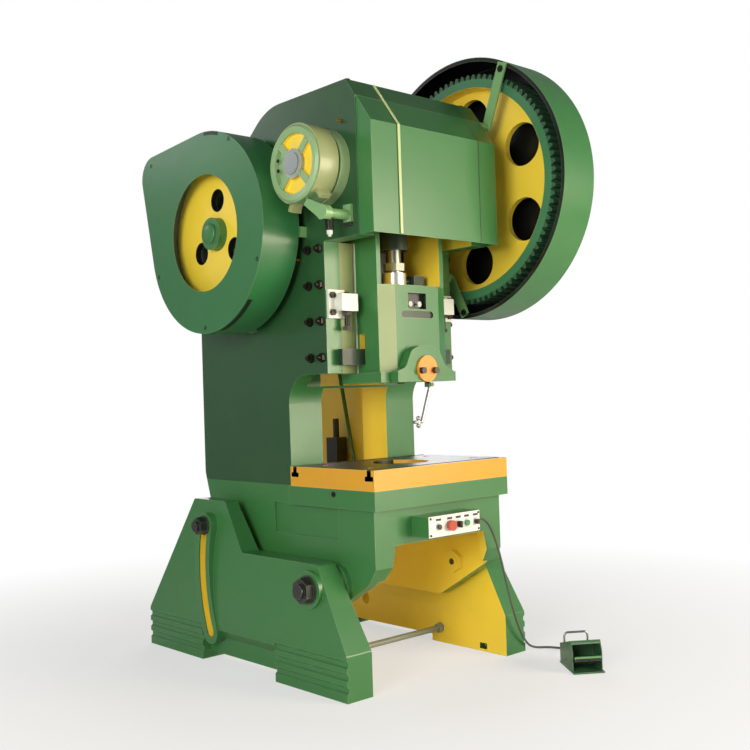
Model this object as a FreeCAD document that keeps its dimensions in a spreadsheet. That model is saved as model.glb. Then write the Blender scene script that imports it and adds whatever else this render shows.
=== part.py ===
import FreeCAD, Part
import math
import os
import re

import Sketcher

# Mechanical stamping press with a C-shaped frame that tilts back on two legs.
# Millimetres. X runs to the operator's right, Y to the back, Z up. The origin lies on the
# floor at the middle of the four feet. A length in back of the middle is positive, so a
# size named "front" is a distance forward of the middle and enters with a minus sign.

SIZES = {
    # legs
    "leg_side": 476,
    "leg_width": 117,
    "leg_wall": 24,
    "foot_reach": 663,
    "foot_length": 415,
    "foot_height": 160,
    "arch_height": 28,
    "arch_recess": 41,
    "arch_recess_top": 95,
    "waist_front": 495,
    "waist_height": 458,
    "step_front": 25,
    "leg_top": 651,
    "leg_top_front": 100,
    "leg_top_rear": 323,
    "leg_corner": 14,
    "leg_draft": 0.06,
    "leg_hollow": 53,
    "flute_depth": 8,
    "flute_width": 26,
    "flute_pitch": 44,
    "anchor_inset": 123,
    "anchor_radius": 13,
    "anchor_seat": 32,
    "anchor_thick": 10,
    "anchor_window": 34,
    # tilting pivot and its arc slots
    "pivot_front": 465,
    "pivot_height": 370,
    "pivot_radius": 28,
    "pivot_boss": 75,
    "slot_radius": 688,
    "slot_width": 48,
    "slot_rim": 50,
    "rim_height": 8,
    "lock_angle": 15.3,
    "slot_span": 36.2,
    "lock_radius": 21,
    "lock_boss": 65,
    "swing_gap": 0.5,
    "running_gap": 0.06,
    "washer": 6,
    "nut_height": 30,
    # tie rod
    "tie_inset": 363,
    "tie_height": 62,
    "tie_radius": 12,
    "tie_nut": 18,
    # frame
    "cheek_side": 335,
    "cheek_wall": 45,
    "frame_bottom": 225,
    "frame_bottom_front": 372,
    "chin_front": 632,
    "chin_height": 381,
    "wall_front": 671,
    "wall_foot": 440,
    "front_wall": 35,
    "table_top": 720,
    "table_band": 70,
    "table_slab": 90,
    "table_side": 355,
    "table_front": 700,
    "table_rear": 205,
    "table_hole": 120,
    "throat_front": 200,
    "throat_fillet": 110,
    "column_side": 175,
    "column_depth": 150,
    "guide_bottom": 1145,
    "guide_front": 440,
    "guide_side": 262,
    "head_bottom": 1637,
    "head_front": 640,
    "head_edge": 590,
    "head_top": 2208,
    "head_plate": 30,
    "crown_front": 108,
    "crown_radius": 250,
    "shoulder_back": 150,
    "shoulder_height": 2010,
    "frame_rear": 408,
    "frame_rear_top": 1700,
    "frame_rear_foot": 750,
    "heel_back": 300,
    "passage_top": 1400,
    "panel_depth": 10,
    "panel_front": 473,
    "panel_back": 85,
    "panel_bottom": 530,
    # head cover
    "cover_side": 330,
    "cover_front": 714,
    "cover_bend": 2035,
    "sheet": 3,
    "panel_left": 195,
    "panel_right": 231,
    "panel_proud": 2,
    # bolster
    "bolster_side": 355,
    "bolster_front": 700,
    "bolster_depth": 480,
    "bolster_thick": 75,
    "drop_hole": 90,
    "drop_rebate": 112,
    "rebate_depth": 14,
    "tee_offset": 212,
    "tee_neck": 22,
    "tee_foot": 44,
    "tee_neck_depth": 22,
    "tee_foot_depth": 18,
    "screw_radius": 10,
    "screw_head": 16,
    "screw_head_height": 18,
    "screw_across": 280,
    "screw_along": 130,
    # crank drive
    "crank_front": 460,
    "crank_height": 1905,
    "crank_throw": 60,
    "journal_radius": 55,
    "bush_radius": 70,
    "boss_radius": 115,
    "pin_radius": 58,
    "pin_half": 72,
    "web_thick": 52,
    "web_radius": 108,
    "rod_eye": 100,
    "rod_half": 68,
    "rod_neck": 58,
    "rod_bottom": 1620,
    "screw_bore": 30,
    "ball_height": 1478,
    "ball_radius": 38,
    "screw_top": 1790,
    "seat_wall": 10,
    "rod_bolt_at": 101,
    "rod_bolt_radius": 10,
    "rod_ear": 54,
    # slide
    "slide_side": 178,
    "slide_front": 555,
    "slide_back": 335,
    "slide_nose": 585,
    "nose_side": 115,
    "slide_bottom": 1105,
    "slide_shelf": 1474,
    "slide_top": 1680,
    "slide_wall": 20,
    "flange_side": 200,
    "flange_back": 372,
    "flange_top": 1143,
    "vee_front": 389,
    "vee_tip": 224,
    "vee_top": 1640,
    "gib_inner": 195,
    "gib_depth": 98,
    "gib_gap": 0.05,
    "shank_radius": 25,
    "shank_depth": 70,
    # knock-out
    "bar_half": 290,
    "bar_front": 462,
    "bar_thick": 26,
    "bar_height": 60,
    "bar_lift": 55,
    "bracket_side": 330,
    "bracket_inner": 222,
    "bracket_bottom": 1350,
    "bracket_top": 1457,
    "block_bottom": 1376,
    "block_top": 1440,
    "block_front": 494,
    "stop_side": 258,
    "stop_tip": 1305,
    "stop_radius": 10,
    # gib screws
    "gib_screw_low": 1205,
    "gib_screw_pitch": 136,
    "gib_screw_front": 415,
    "gib_screw_back": 350,
    "gib_screw_radius": 9,
    "gib_head": 15,
    # clamp
    "clamp_thick": 37,
    "clamp_foot": 148,
    "clamp_foot_top": 1160,
    "clamp_top": 1240,
    "clamp_stem": 70,
    "disc_radius": 50,
    "disc_drop": 87,
    "disc_thick": 10,
    "clamp_bolt_side": 34,
    "lever_side": 28,
    "lever_length": 150,
    "lever_radius": 6,
    "lever_lean": 20,
    "lever_pin": 43,
    "lever_knob": 14,
    # brake
    "brake_outer": 487,
    "drum_radius": 140,
    "drum_inner": 385,
    "drum_recess": 106,
    "drum_hub": 42,
    "band_outer": 475,
    "band_inner": 390,
    "band_radius": 146,
    "plate_outer": 378,
    "plate_radius": 143,
    "shaft_end_radius": 40,
    "anchor_in": 14,
    "anchor_drop": 48,
    # gear drive
    "gear_module": 10,
    "pressure_angle": 20,
    "root_depth": 1.2,
    "bull_addendum": 0.85,
    "pinion_addendum": 0.96,
    "tooth_play": 0.5,
    "bull_teeth": 94,
    "pinion_teeth": 15,
    "gear_near": 424,
    "gear_width": 110,
    "rim_inner": 424,
    "gear_web_near": 490,
    "gear_web": 26,
    "gear_hub": 105,
    "gear_holes": 305,
    "gear_hole_radius": 88,
    "gear_hub_near": 430,
    "gear_hub_far": 545,
    "shaft_reach": 512,
    "shaft_radius": 40,
    "bearing_radius": 62,
    "bearing_boss": 90,
    "bearing_face": 366,
    "bearing_cap": 80,
    # gear guard
    "guard_near": 400,
    "guard_far": 586,
    "guard_gap": 62.5,
    "pinion_guard": 105,
    "guard_edge": 16,
    # flywheel and belts
    "wheel_outer": 520,
    "wheel_inner": 400,
    "wheel_radius": 360,
    "wheel_rim": 296,
    "wheel_web_outer": 474,
    "wheel_web": 26,
    "wheel_hub": 64,
    "wheel_hub_outer": 508,
    "wheel_holes": 135,
    "wheel_hole_radius": 45,
    "belt_count": 3,
    "belt_pitch": 30,
    "belt_first": 490,
    "belt_width": 17,
    "belt_height": 11,
    "motor_back": 426,
    "motor_height": 2001,
    "pulley_radius": 78,
    "guard_outer": 540,
    "guard_inner": 375,
    "belt_guard_radius": 397,
    "belt_guard_nose": 91,
    "guard_opening": 230,
    # motor
    "motor_left": 330,
    "motor_length": 430,
    "motor_radius": 125,
    "fin_count": 28,
    "fin_depth": 12,
    "motor_shaft": 19,
    "motor_foot": 132,
    # control box
    "box_left": 150,
    "box_right": 120,
    "box_front": 756,
    "box_drop": 36,
    "box_height": 76,
    "panel_thick": 3,
    "button_drop": 40,
    "stop_side_at": 43,
    # clutch gear behind the table
    "clutch_side": 245,
    "clutch_back": 215,
    "clutch_rod_length": 700,
    # foot switch
    "pedal_x": 424,
    "pedal_front": 978,
    "pedal_turn": -36,
    "pedal_width": 115,
    "pedal_depth": 166,
    "pedal_rear_height": 76,
    "pedal_hood": 116,
    "pedal_sheet": 3,
    "pedal_base": 6,
    "pedal_pin_back": 12,
    "pedal_pin_height": 28,
    "pedal_handle": 120,
    "pedal_gland": 38,
    "handle_half": 46,
    "handle_bend": 14,
    "handle_wire": 4,
    # cord
    "cord_radius": 4.5,
}

doc = FreeCAD.newDocument("StampingPress")
sheet = doc.addObject("Spreadsheet::Sheet", "Sizes")
for row, (alias, size) in enumerate(SIZES.items(), start=1):
    sheet.set(f"A{row}", alias)
    sheet.set(f"B{row}", str(size))
    sheet.setAlias(f"B{row}", alias)
doc.recompute()

# Places worked out from the sizes, written as expressions of the sheet.
GEAR_CENTRES = "((bull_teeth + pinion_teeth) * gear_module / 2)"
SHAFT_Y = "(shaft_reach - crank_front)"
SHAFT_Z = f"(crank_height - sqrt({GEAR_CENTRES}^2 - shaft_reach^2))"
CRANK_Y = "(-crank_front)"
PIN_Z = "(crank_height + crank_throw)"
CHEEK_IN = "(cheek_side - cheek_wall)"
BOLSTER_BACK = "(bolster_depth - bolster_front)"
BOLSTER_TOP = "(table_top + bolster_thick)"
LOCK_Y = "(slot_radius * cos(lock_angle) - pivot_front)"
LOCK_Z = "(pivot_height + slot_radius * sin(lock_angle))"
SLOT_END_Y = "(slot_radius * cos(lock_angle - slot_span) - pivot_front)"
SLOT_END_Z = "(pivot_height + slot_radius * sin(lock_angle - slot_span))"
LEG_MIDDLE = "(leg_width / 2 - leg_side)"
TIE_Y = "(tie_inset - foot_reach)"
HEAD_SLOPE = "((head_top - cover_bend) / (cover_front - head_edge))"
HEAD_BREAK = f"(cover_bend + (cover_front - head_front) * {HEAD_SLOPE})"
BAR_BOTTOM = "(slide_bottom + shank_depth)"
CLAMP_FACE = "(-slide_nose - clamp_thick)"
DISC_Z = "(clamp_top - disc_drop)"
ANCHOR_Y = "(anchor_in - band_radius - crank_front)"
ANCHOR_Z = "(crank_height - band_radius - anchor_drop)"
GUARD_RADIUS = "(bull_teeth * gear_module / 2 + bull_addendum * gear_module + guard_gap)"
BOX_TOP = "(table_top - table_band - box_drop)"
BUTTON_LINE = f"({BOX_TOP} - button_drop)"
REAR_SLOPE = "sqrt((frame_rear - shoulder_back)^2 + (shoulder_height - frame_rear_top)^2)"
MOTOR_RISE = (f"(((motor_back - shoulder_back) * (shoulder_height - frame_rear_top)"
              f" + (motor_height - shoulder_height) * (frame_rear - shoulder_back)) / {REAR_SLOPE})")

WORD = re.compile(r"[a-z][a-z0-9_]*")
NODES = []


def bound(text):
    """The expression with every size's name looked up in the sheet."""
    return WORD.sub(lambda m: "Sizes." + m[0] if m[0] in SIZES else m[0], str(text))


def number(text):
    """The value that an expression of the sheet has now."""
    return float(sheet.evalExpression(bound(text)))


def vector(x, y, z):
    return FreeCAD.Vector(number(x), number(y), number(z))


def bind(obj, **expressions):
    for prop, text in expressions.items():
        obj.setExpression(prop.replace("__", "."), bound(text))


def node(obj, name):
    """Names a finished sub-part, which is then exported under that name."""
    obj.Label = name
    NODES.append(obj)
    return obj


TURNS = {
    "X": FreeCAD.Rotation(FreeCAD.Vector(0, 1, 0), 90),
    "Y": FreeCAD.Rotation(FreeCAD.Vector(1, 0, 0), -90),
    "Z": FreeCAD.Rotation(),
}


def place(obj, x, y, z, axis="Z"):
    obj.Placement = FreeCAD.Placement(vector(x, y, z), TURNS[axis])
    bind(obj, Placement__Base__x=x, Placement__Base__y=y, Placement__Base__z=z)
    return obj


def block(name, x0, x1, y0, y1, z0, z1):
    """A box between two values on each axis."""
    obj = doc.addObject("Part::Box", name)
    bind(obj, Length=f"({x1}) - ({x0})", Width=f"({y1}) - ({y0})", Height=f"({z1}) - ({z0})")
    return place(obj, x0, y0, z0)


def rod(name, axis, radius, start, end, u, v, angle=None):
    """A cylinder along an axis from start to end, at u, v on the other two axes."""
    obj = doc.addObject("Part::Cylinder", name)
    bind(obj, Radius=radius, Height=f"({end}) - ({start})")
    if angle is not None:
        bind(obj, Angle=angle)
    at = {"X": (start, u, v), "Y": (u, start, v), "Z": (u, v, start)}[axis]
    return place(obj, *at, axis)


def sphere(name, radius, x, y, z):
    obj = doc.addObject("Part::Sphere", name)
    bind(obj, Radius=radius)
    return place(obj, x, y, z)


def hexagon(name, axis, across, start, end, u, v):
    """A six-sided nut or bolt head along an axis."""
    obj = doc.addObject("Part::Prism", name)
    obj.Polygon = 6
    bind(obj, Circumradius=f"({across}) / sqrt(3)", Height=f"({end}) - ({start})")
    at = {"X": (start, u, v), "Y": (u, start, v), "Z": (u, v, start)}[axis]
    return place(obj, *at, axis)


def fuse(name, *shapes):
    obj = doc.addObject("Part::MultiFuse", name)
    obj.Shapes = list(shapes)
    return obj


def cut(name, base, *tools):
    obj = doc.addObject("Part::Cut", name)
    obj.Base = base
    obj.Tool = tools[0] if len(tools) == 1 else fuse(name + "Tools", *tools)
    return obj


def group(name, *shapes):
    obj = doc.addObject("Part::Compound", name)
    obj.Links = list(shapes)
    return obj


def mirrored(name, source):
    """The same piece on the other side of the press."""
    obj = doc.addObject("Part::Mirroring", name)
    obj.Source = source
    obj.Normal = FreeCAD.Vector(1, 0, 0)
    obj.Base = FreeCAD.Vector()
    return obj


def new_body(name):
    return doc.addObject("PartDesign::Body", name)


def plane_of(part, role):
    return next(f for f in part.Origin.OriginFeatures if f.Role == role)


def hold(sketch, kind, geometry, point, text):
    """Fixes one coordinate of a sketch point to an expression."""
    place_of = (-1, 1, geometry, point)
    row = sketch.addConstraint(Sketcher.Constraint(kind, *place_of, number(text)))
    sketch.setExpression(f"Constraints[{row}]", bound(text))


def draw_circle(sketch, u, v, radius):
    centre = FreeCAD.Vector(number(u), number(v), 0)
    up = FreeCAD.Vector(0, 0, 1)
    row = sketch.addGeometry(Part.Circle(centre, up, number(radius)), False)
    hold(sketch, "DistanceX", row, 3, u)
    hold(sketch, "DistanceY", row, 3, v)
    last = sketch.addConstraint(Sketcher.Constraint("Radius", row, number(radius)))
    sketch.setExpression(f"Constraints[{last}]", bound(radius))


def draw_polygon(sketch, points):
    places = [FreeCAD.Vector(number(u), number(v), 0) for u, v in points]
    first = sketch.GeometryCount
    count = len(points)
    for i in range(count):
        line = Part.LineSegment(places[i], places[(i + 1) % count])
        sketch.addGeometry(line, False)
    for i in range(count):
        following = first + (i + 1) % count
        sketch.addConstraint(Sketcher.Constraint("Coincident", first + i, 2, following, 1))
    for i, (u, v) in enumerate(points):
        hold(sketch, "DistanceX", first + i, 1, u)
        hold(sketch, "DistanceY", first + i, 1, v)


def draw_belt_loop(sketch, big, small):
    """Two circles' hull: each circle is (u, v, radius)."""
    (u1, v1, r1), (u2, v2, r2) = [[number(n) for n in c] for c in (big, small)]
    along = math.atan2(v2 - v1, u2 - u1)
    spread = math.acos((r1 - r2) / math.hypot(u2 - u1, v2 - v1))
    up = FreeCAD.Vector(0, 0, 1)
    first = sketch.GeometryCount
    ends = [along + spread, along - spread]

    def on(u, v, r, angle):
        return FreeCAD.Vector(u + r * math.cos(angle), v + r * math.sin(angle), 0)

    rim1 = Part.Circle(FreeCAD.Vector(u1, v1, 0), up, r1)
    rim2 = Part.Circle(FreeCAD.Vector(u2, v2, 0), up, r2)
    sketch.addGeometry(Part.ArcOfCircle(rim1, ends[0], ends[1] + 2 * math.pi), False)
    sketch.addGeometry(Part.LineSegment(on(u1, v1, r1, ends[1]), on(u2, v2, r2, ends[1])), False)
    sketch.addGeometry(Part.ArcOfCircle(rim2, ends[1], ends[0]), False)
    sketch.addGeometry(Part.LineSegment(on(u2, v2, r2, ends[0]), on(u1, v1, r1, ends[0])), False)
    for a, b in ((0, 1), (1, 2), (2, 3), (3, 0)):
        ends_of = (first + a, 2, first + b, 1)
        sketch.addConstraint(Sketcher.Constraint("Tangent", *ends_of))
    for row, (u, v, radius) in ((first, big), (first + 2, small)):
        hold(sketch, "DistanceX", row, 3, u)
        hold(sketch, "DistanceY", row, 3, v)
        last = sketch.addConstraint(Sketcher.Constraint("Radius", row, number(radius)))
        sketch.setExpression(f"Constraints[{last}]", bound(radius))


def new_sketch(part, side, at, loops):
    """Closed outlines on one of a body's own planes, moved to a place on its axis."""
    sketch = part.newObject("Sketcher::SketchObject", part.Name + "Outline")
    sketch.AttachmentSupport = [(plane_of(part, side + "_Plane"), "")]
    sketch.MapMode = "FlatFace"
    sign = "-" if side == "XZ" else ""
    bind(sketch, AttachmentOffset__Base__z=f"{sign}({at})")
    for loop in loops:
        if loop[0] == "circle":
            draw_circle(sketch, *loop[1:])
        elif loop[0] == "belt":
            draw_belt_loop(sketch, *loop[1:])
        else:
            draw_polygon(sketch, loop)
    return sketch


def pad(part, side, loops, low, high):
    """Adds material between two places on the plane's axis."""
    feature = part.newObject("PartDesign::Pad", part.Name + "Pad")
    feature.Profile = new_sketch(part, side, low, loops)
    feature.Reversed = side == "XZ"
    bind(feature, Length=f"({high}) - ({low})")
    doc.recompute()
    return feature


def pocket(part, side, loops, low, high):
    """Removes material between two places on the plane's axis."""
    before = part.Shape.Volume
    feature = part.newObject("PartDesign::Pocket", part.Name + "Pocket")
    feature.Profile = new_sketch(part, side, low if side == "XZ" else high, loops)
    bind(feature, Length=f"({high}) - ({low})")
    doc.recompute()
    if part.Shape.Volume > before - 1:
        raise RuntimeError(f"{feature.Name} removes nothing")
    return feature


def turn(part, points):
    """A turned piece from (distance along the axis, radius) points, about the body's Z."""
    sketch = new_sketch(part, "XZ", "0", [[(radius, along) for along, radius in points]])
    feature = part.newObject("PartDesign::Revolution", part.Name + "Turned")
    feature.Profile = sketch
    feature.ReferenceAxis = (sketch, ["V_Axis"])
    doc.recompute()
    return feature


def round_corners(part, side, places, radius):
    """Rounds the straight edges that cross a plane at the given places."""
    axis = {"YZ": (1, 0, 0), "XZ": (0, 1, 0), "XY": (0, 0, 1)}[side]
    keep = [i for i in range(3) if not axis[i]]
    wanted = [(number(u), number(v)) for u, v in places]
    tip = part.Tip
    names = []
    for row, edge in enumerate(tip.Shape.Edges, start=1):
        if not isinstance(edge.Curve, Part.Line):
            continue
        if abs(edge.Curve.Direction.dot(FreeCAD.Vector(*axis))) < 0.999:
            continue
        at = [edge.Vertexes[0].Point[i] for i in keep]
        if any(math.hypot(at[0] - u, at[1] - v) < 0.5 for u, v in wanted):
            names.append(f"Edge{row}")
    feature = part.newObject("PartDesign::Fillet", part.Name + "Fillet")
    feature.Base = (tip, names)
    bind(feature, Radius=radius)
    doc.recompute()
    return feature


# ---------------------------------------------------------------- legs


def arc_band(name, half, end_radius, low, high):
    """A band along the slot's arc with round ends, between two values of x."""
    turned = FreeCAD.Rotation(TURNS["X"])
    outer = rod(name + "Outer", "X", f"slot_radius + {half}", low, high,
                "-pivot_front", "pivot_height", "slot_span")
    start = FreeCAD.Rotation(FreeCAD.Vector(1, 0, 0), number("lock_angle - slot_span"))
    flip = FreeCAD.Rotation(FreeCAD.Vector(1, 0, 0), 90)
    outer.Placement.Rotation = start.multiply(flip).multiply(turned)
    inner = rod(name + "Inner", "X", f"slot_radius - {half}", low, high,
                "-pivot_front", "pivot_height")
    band = cut(name + "Band", outer, inner)
    upper = rod(name + "Upper", "X", end_radius, low, high, LOCK_Y, LOCK_Z)
    lower = rod(name + "Lower", "X", end_radius, low, high, SLOT_END_Y, SLOT_END_Z)
    return fuse(name, band, upper, lower)


def legs():
    face = "-leg_side"
    inner = "(leg_width - leg_side)"
    foot_end = "(foot_reach - foot_length)"
    outline = [
        ("-foot_reach", "0"),
        ("-foot_reach", "foot_height"),
        ("-waist_front", "waist_height"),
        ("-step_front", "waist_height"),
        ("leg_top_front", "leg_top"),
        ("leg_top_rear", "leg_top"),
        ("foot_reach", "foot_height"),
        ("foot_reach", "0"),
        (foot_end, "0"),
        (foot_end, "arch_height"),
        (f"-{foot_end}", "arch_height"),
        (f"-{foot_end}", "0"),
    ]
    casting = new_body("LegCasting")
    pad(casting, "YZ", [outline], face, inner)
    round_corners(casting, "YZ", outline[1:7], "leg_corner")

    # both faces lean in above the feet
    draw = "(leg_draft * (leg_top + 10 - foot_height))"
    for edge, sign, out in ((face, "+", "-"), (inner, "-", "+")):
        wedge = [
            (f"{edge} {out} 1", "foot_height"),
            (edge, "foot_height"),
            (f"{edge} {sign} {draw}", "leg_top + 10"),
            (f"{edge} {out} 1", "leg_top + 10"),
        ]
        pocket(casting, "XZ", [wedge], "-foot_reach - 1", "foot_reach + 1")

    # hollow feet, open below
    rib = "(slot_width / 2 + leg_wall)"
    front_cavity = [
        ("leg_wall - foot_reach", "-1"),
        ("leg_wall - foot_reach", "foot_height - leg_wall / 4"),
        ("leg_wall - waist_front - leg_wall / 3", "waist_height - leg_wall"),
        (f"{LOCK_Y} - {rib} - leg_wall", "waist_height - leg_wall"),
        (f"{LOCK_Y} - {rib} - leg_wall", "foot_height + 70"),
        (f"-{foot_end} - leg_wall", "foot_height + 70"),
        (f"-{foot_end} - leg_wall", "-1"),
    ]
    rear_cavity = [
        ("foot_reach - leg_wall", "-1"),
        ("foot_reach - leg_wall", "foot_height - leg_wall / 4"),
        ("leg_top_rear + leg_wall * 2.25", "leg_top - leg_wall * 5"),
        (f"slot_radius - pivot_front + {rib}", "leg_top - leg_wall * 5"),
        (f"slot_radius - pivot_front + {rib}", "-1"),
    ]
    hollow = (f"{LEG_MIDDLE} - leg_hollow / 2", f"{LEG_MIDDLE} + leg_hollow / 2")
    pocket(casting, "YZ", [front_cavity, rear_cavity], *hollow)

    # a solid seat for an anchor bolt in each foot, with a window to reach it from inside
    for sign in ("-", ""):
        at = f"({sign}(foot_reach - anchor_inset))"
        seat = [
            ("-leg_side + leg_wall / 2", f"{at} - anchor_seat"),
            ("leg_width - leg_side - leg_wall / 2", f"{at} - anchor_seat"),
            ("leg_width - leg_side - leg_wall / 2", f"{at} + anchor_seat"),
            ("-leg_side + leg_wall / 2", f"{at} + anchor_seat"),
        ]
        pad(casting, "XY", [seat], "0", "anchor_thick")
        window = [
            (f"{at} - anchor_seat * 0.6", "anchor_thick"),
            (f"{at} + anchor_seat * 0.6", "anchor_thick"),
            (f"{at} + anchor_seat * 0.6", "anchor_window"),
            (f"{at} - anchor_seat * 0.6", "anchor_window"),
        ]
        pocket(casting, "YZ", [window], f"{hollow[1]} - 1", f"{inner} + 1")
        hole = [("circle", LEG_MIDDLE, at, "anchor_radius")]
        pocket(casting, "XY", hole, "-1", "anchor_thick + 1")

    # the web between the feet steps in, with a sloped top
    recess = [
        ("-leg_side - 1", "arch_recess_top + arch_recess"),
        ("-leg_side", "arch_recess_top + arch_recess"),
        ("arch_recess - leg_side", "arch_recess_top"),
        ("arch_recess - leg_side", "0"),
        ("-leg_side - 1", "0"),
    ]
    pocket(casting, "XZ", [recess], f"-{foot_end}", foot_end)

    # three flutes on the outer face of each foot
    flutes = []
    for row in (1, 2, 3):
        middle = f"flute_pitch * {row}"
        flutes.append([
            ("-leg_side - 1", f"{middle} - flute_width / 2"),
            ("-leg_side - 1", f"{middle} + flute_width / 2"),
            ("-leg_side", f"{middle} + flute_width / 2"),
            ("flute_depth - leg_side", f"{middle} + flute_width / 4"),
            ("flute_depth - leg_side", f"{middle} - flute_width / 4"),
            ("-leg_side", f"{middle} - flute_width / 2"),
        ])
    pocket(casting, "XZ", flutes, "-foot_reach - 1", f"-{foot_end}")
    pocket(casting, "XZ", flutes, foot_end, "foot_reach + 1")

    pivot = ("-pivot_front", "pivot_height")
    boss = rod("LegBoss", "X", "pivot_boss - 8", "-leg_side - washer", inner, *pivot)
    rim = arc_band("SlotRim", "slot_rim", "slot_rim", "-leg_side - rim_height", inner)
    solid = fuse("LegSolid", casting, boss, rim)
    bore = rod("LegBore", "X", "pivot_radius", "-leg_side - 20", "0", *pivot)
    slot = arc_band("Slot", "slot_width / 2", "slot_width / 2", "-leg_side - 20", "0")
    tie = rod("TieHole", "X", "tie_radius", f"{hollow[1]} - 1", "0", TIE_Y, "tie_height")
    left = node(cut("LeftLeg", solid, bore, slot, tie), "left_leg")
    node(mirrored("RightLeg", left), "right_leg")


def tie_rod():
    at = (TIE_Y, "tie_height")
    inner = "(leg_side - leg_width)"
    wall = "(leg_width - leg_hollow) / 2"
    reach = f"({inner} + {wall} + tie_nut * 1.4)"
    bar = rod("TieBar", "X", "tie_radius", f"-{reach}", reach, *at)
    nut = hexagon("TieNut", "X", "tie_radius * 3.2", f"{inner} - tie_nut", inner, *at)
    lock = hexagon("TieLock", "X", "tie_radius * 3.2", f"{inner} + {wall}",
                   f"{inner} + {wall} + tie_nut", *at)
    nuts = fuse("TieNuts", nut, lock)
    node(fuse("TieRod", bar, nuts, mirrored("TieNutsLeft", nuts)), "tie_rod")


def clamped_stud(name, radius, face, y, z, collar_gap):
    """A stud from inside the left cheek to a nut outside the left leg."""
    stud = rod(name + "Stud", "X", radius, f"-({face}) - washer - nut_height - 12",
               f"-{CHEEK_IN} + washer * 4", y, z)
    plate = rod(name + "Washer", "X", f"{radius} * 1.85", f"-({face}) - washer", f"-({face})", y, z)
    nut = hexagon(name + "Nut", "X", f"{radius} * 2.9", f"-({face}) - washer - nut_height",
                  f"-({face}) - washer", y, z)
    collar = hexagon(name + "Collar", "X", f"{radius} * 2.8", f"-{CHEEK_IN} + {collar_gap}",
                     f"-{CHEEK_IN} + washer * 3.5", y, z)
    return fuse(name, stud, plate, nut, collar)


def leg_bolts():
    left = clamped_stud("PivotBolt", "pivot_radius", "leg_side + washer",
                        "-pivot_front", "pivot_height", "swing_gap")
    node(group("PivotBolts", left, mirrored("PivotBoltRight", left)), "pivot_bolts")
    left = clamped_stud("LockBolt", "lock_radius", "leg_side + rim_height + swing_gap", LOCK_Y, LOCK_Z, "0")
    node(group("LockBolts", left, mirrored("LockBoltRight", left)), "lock_bolts")


# ---------------------------------------------------------------- frame


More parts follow.
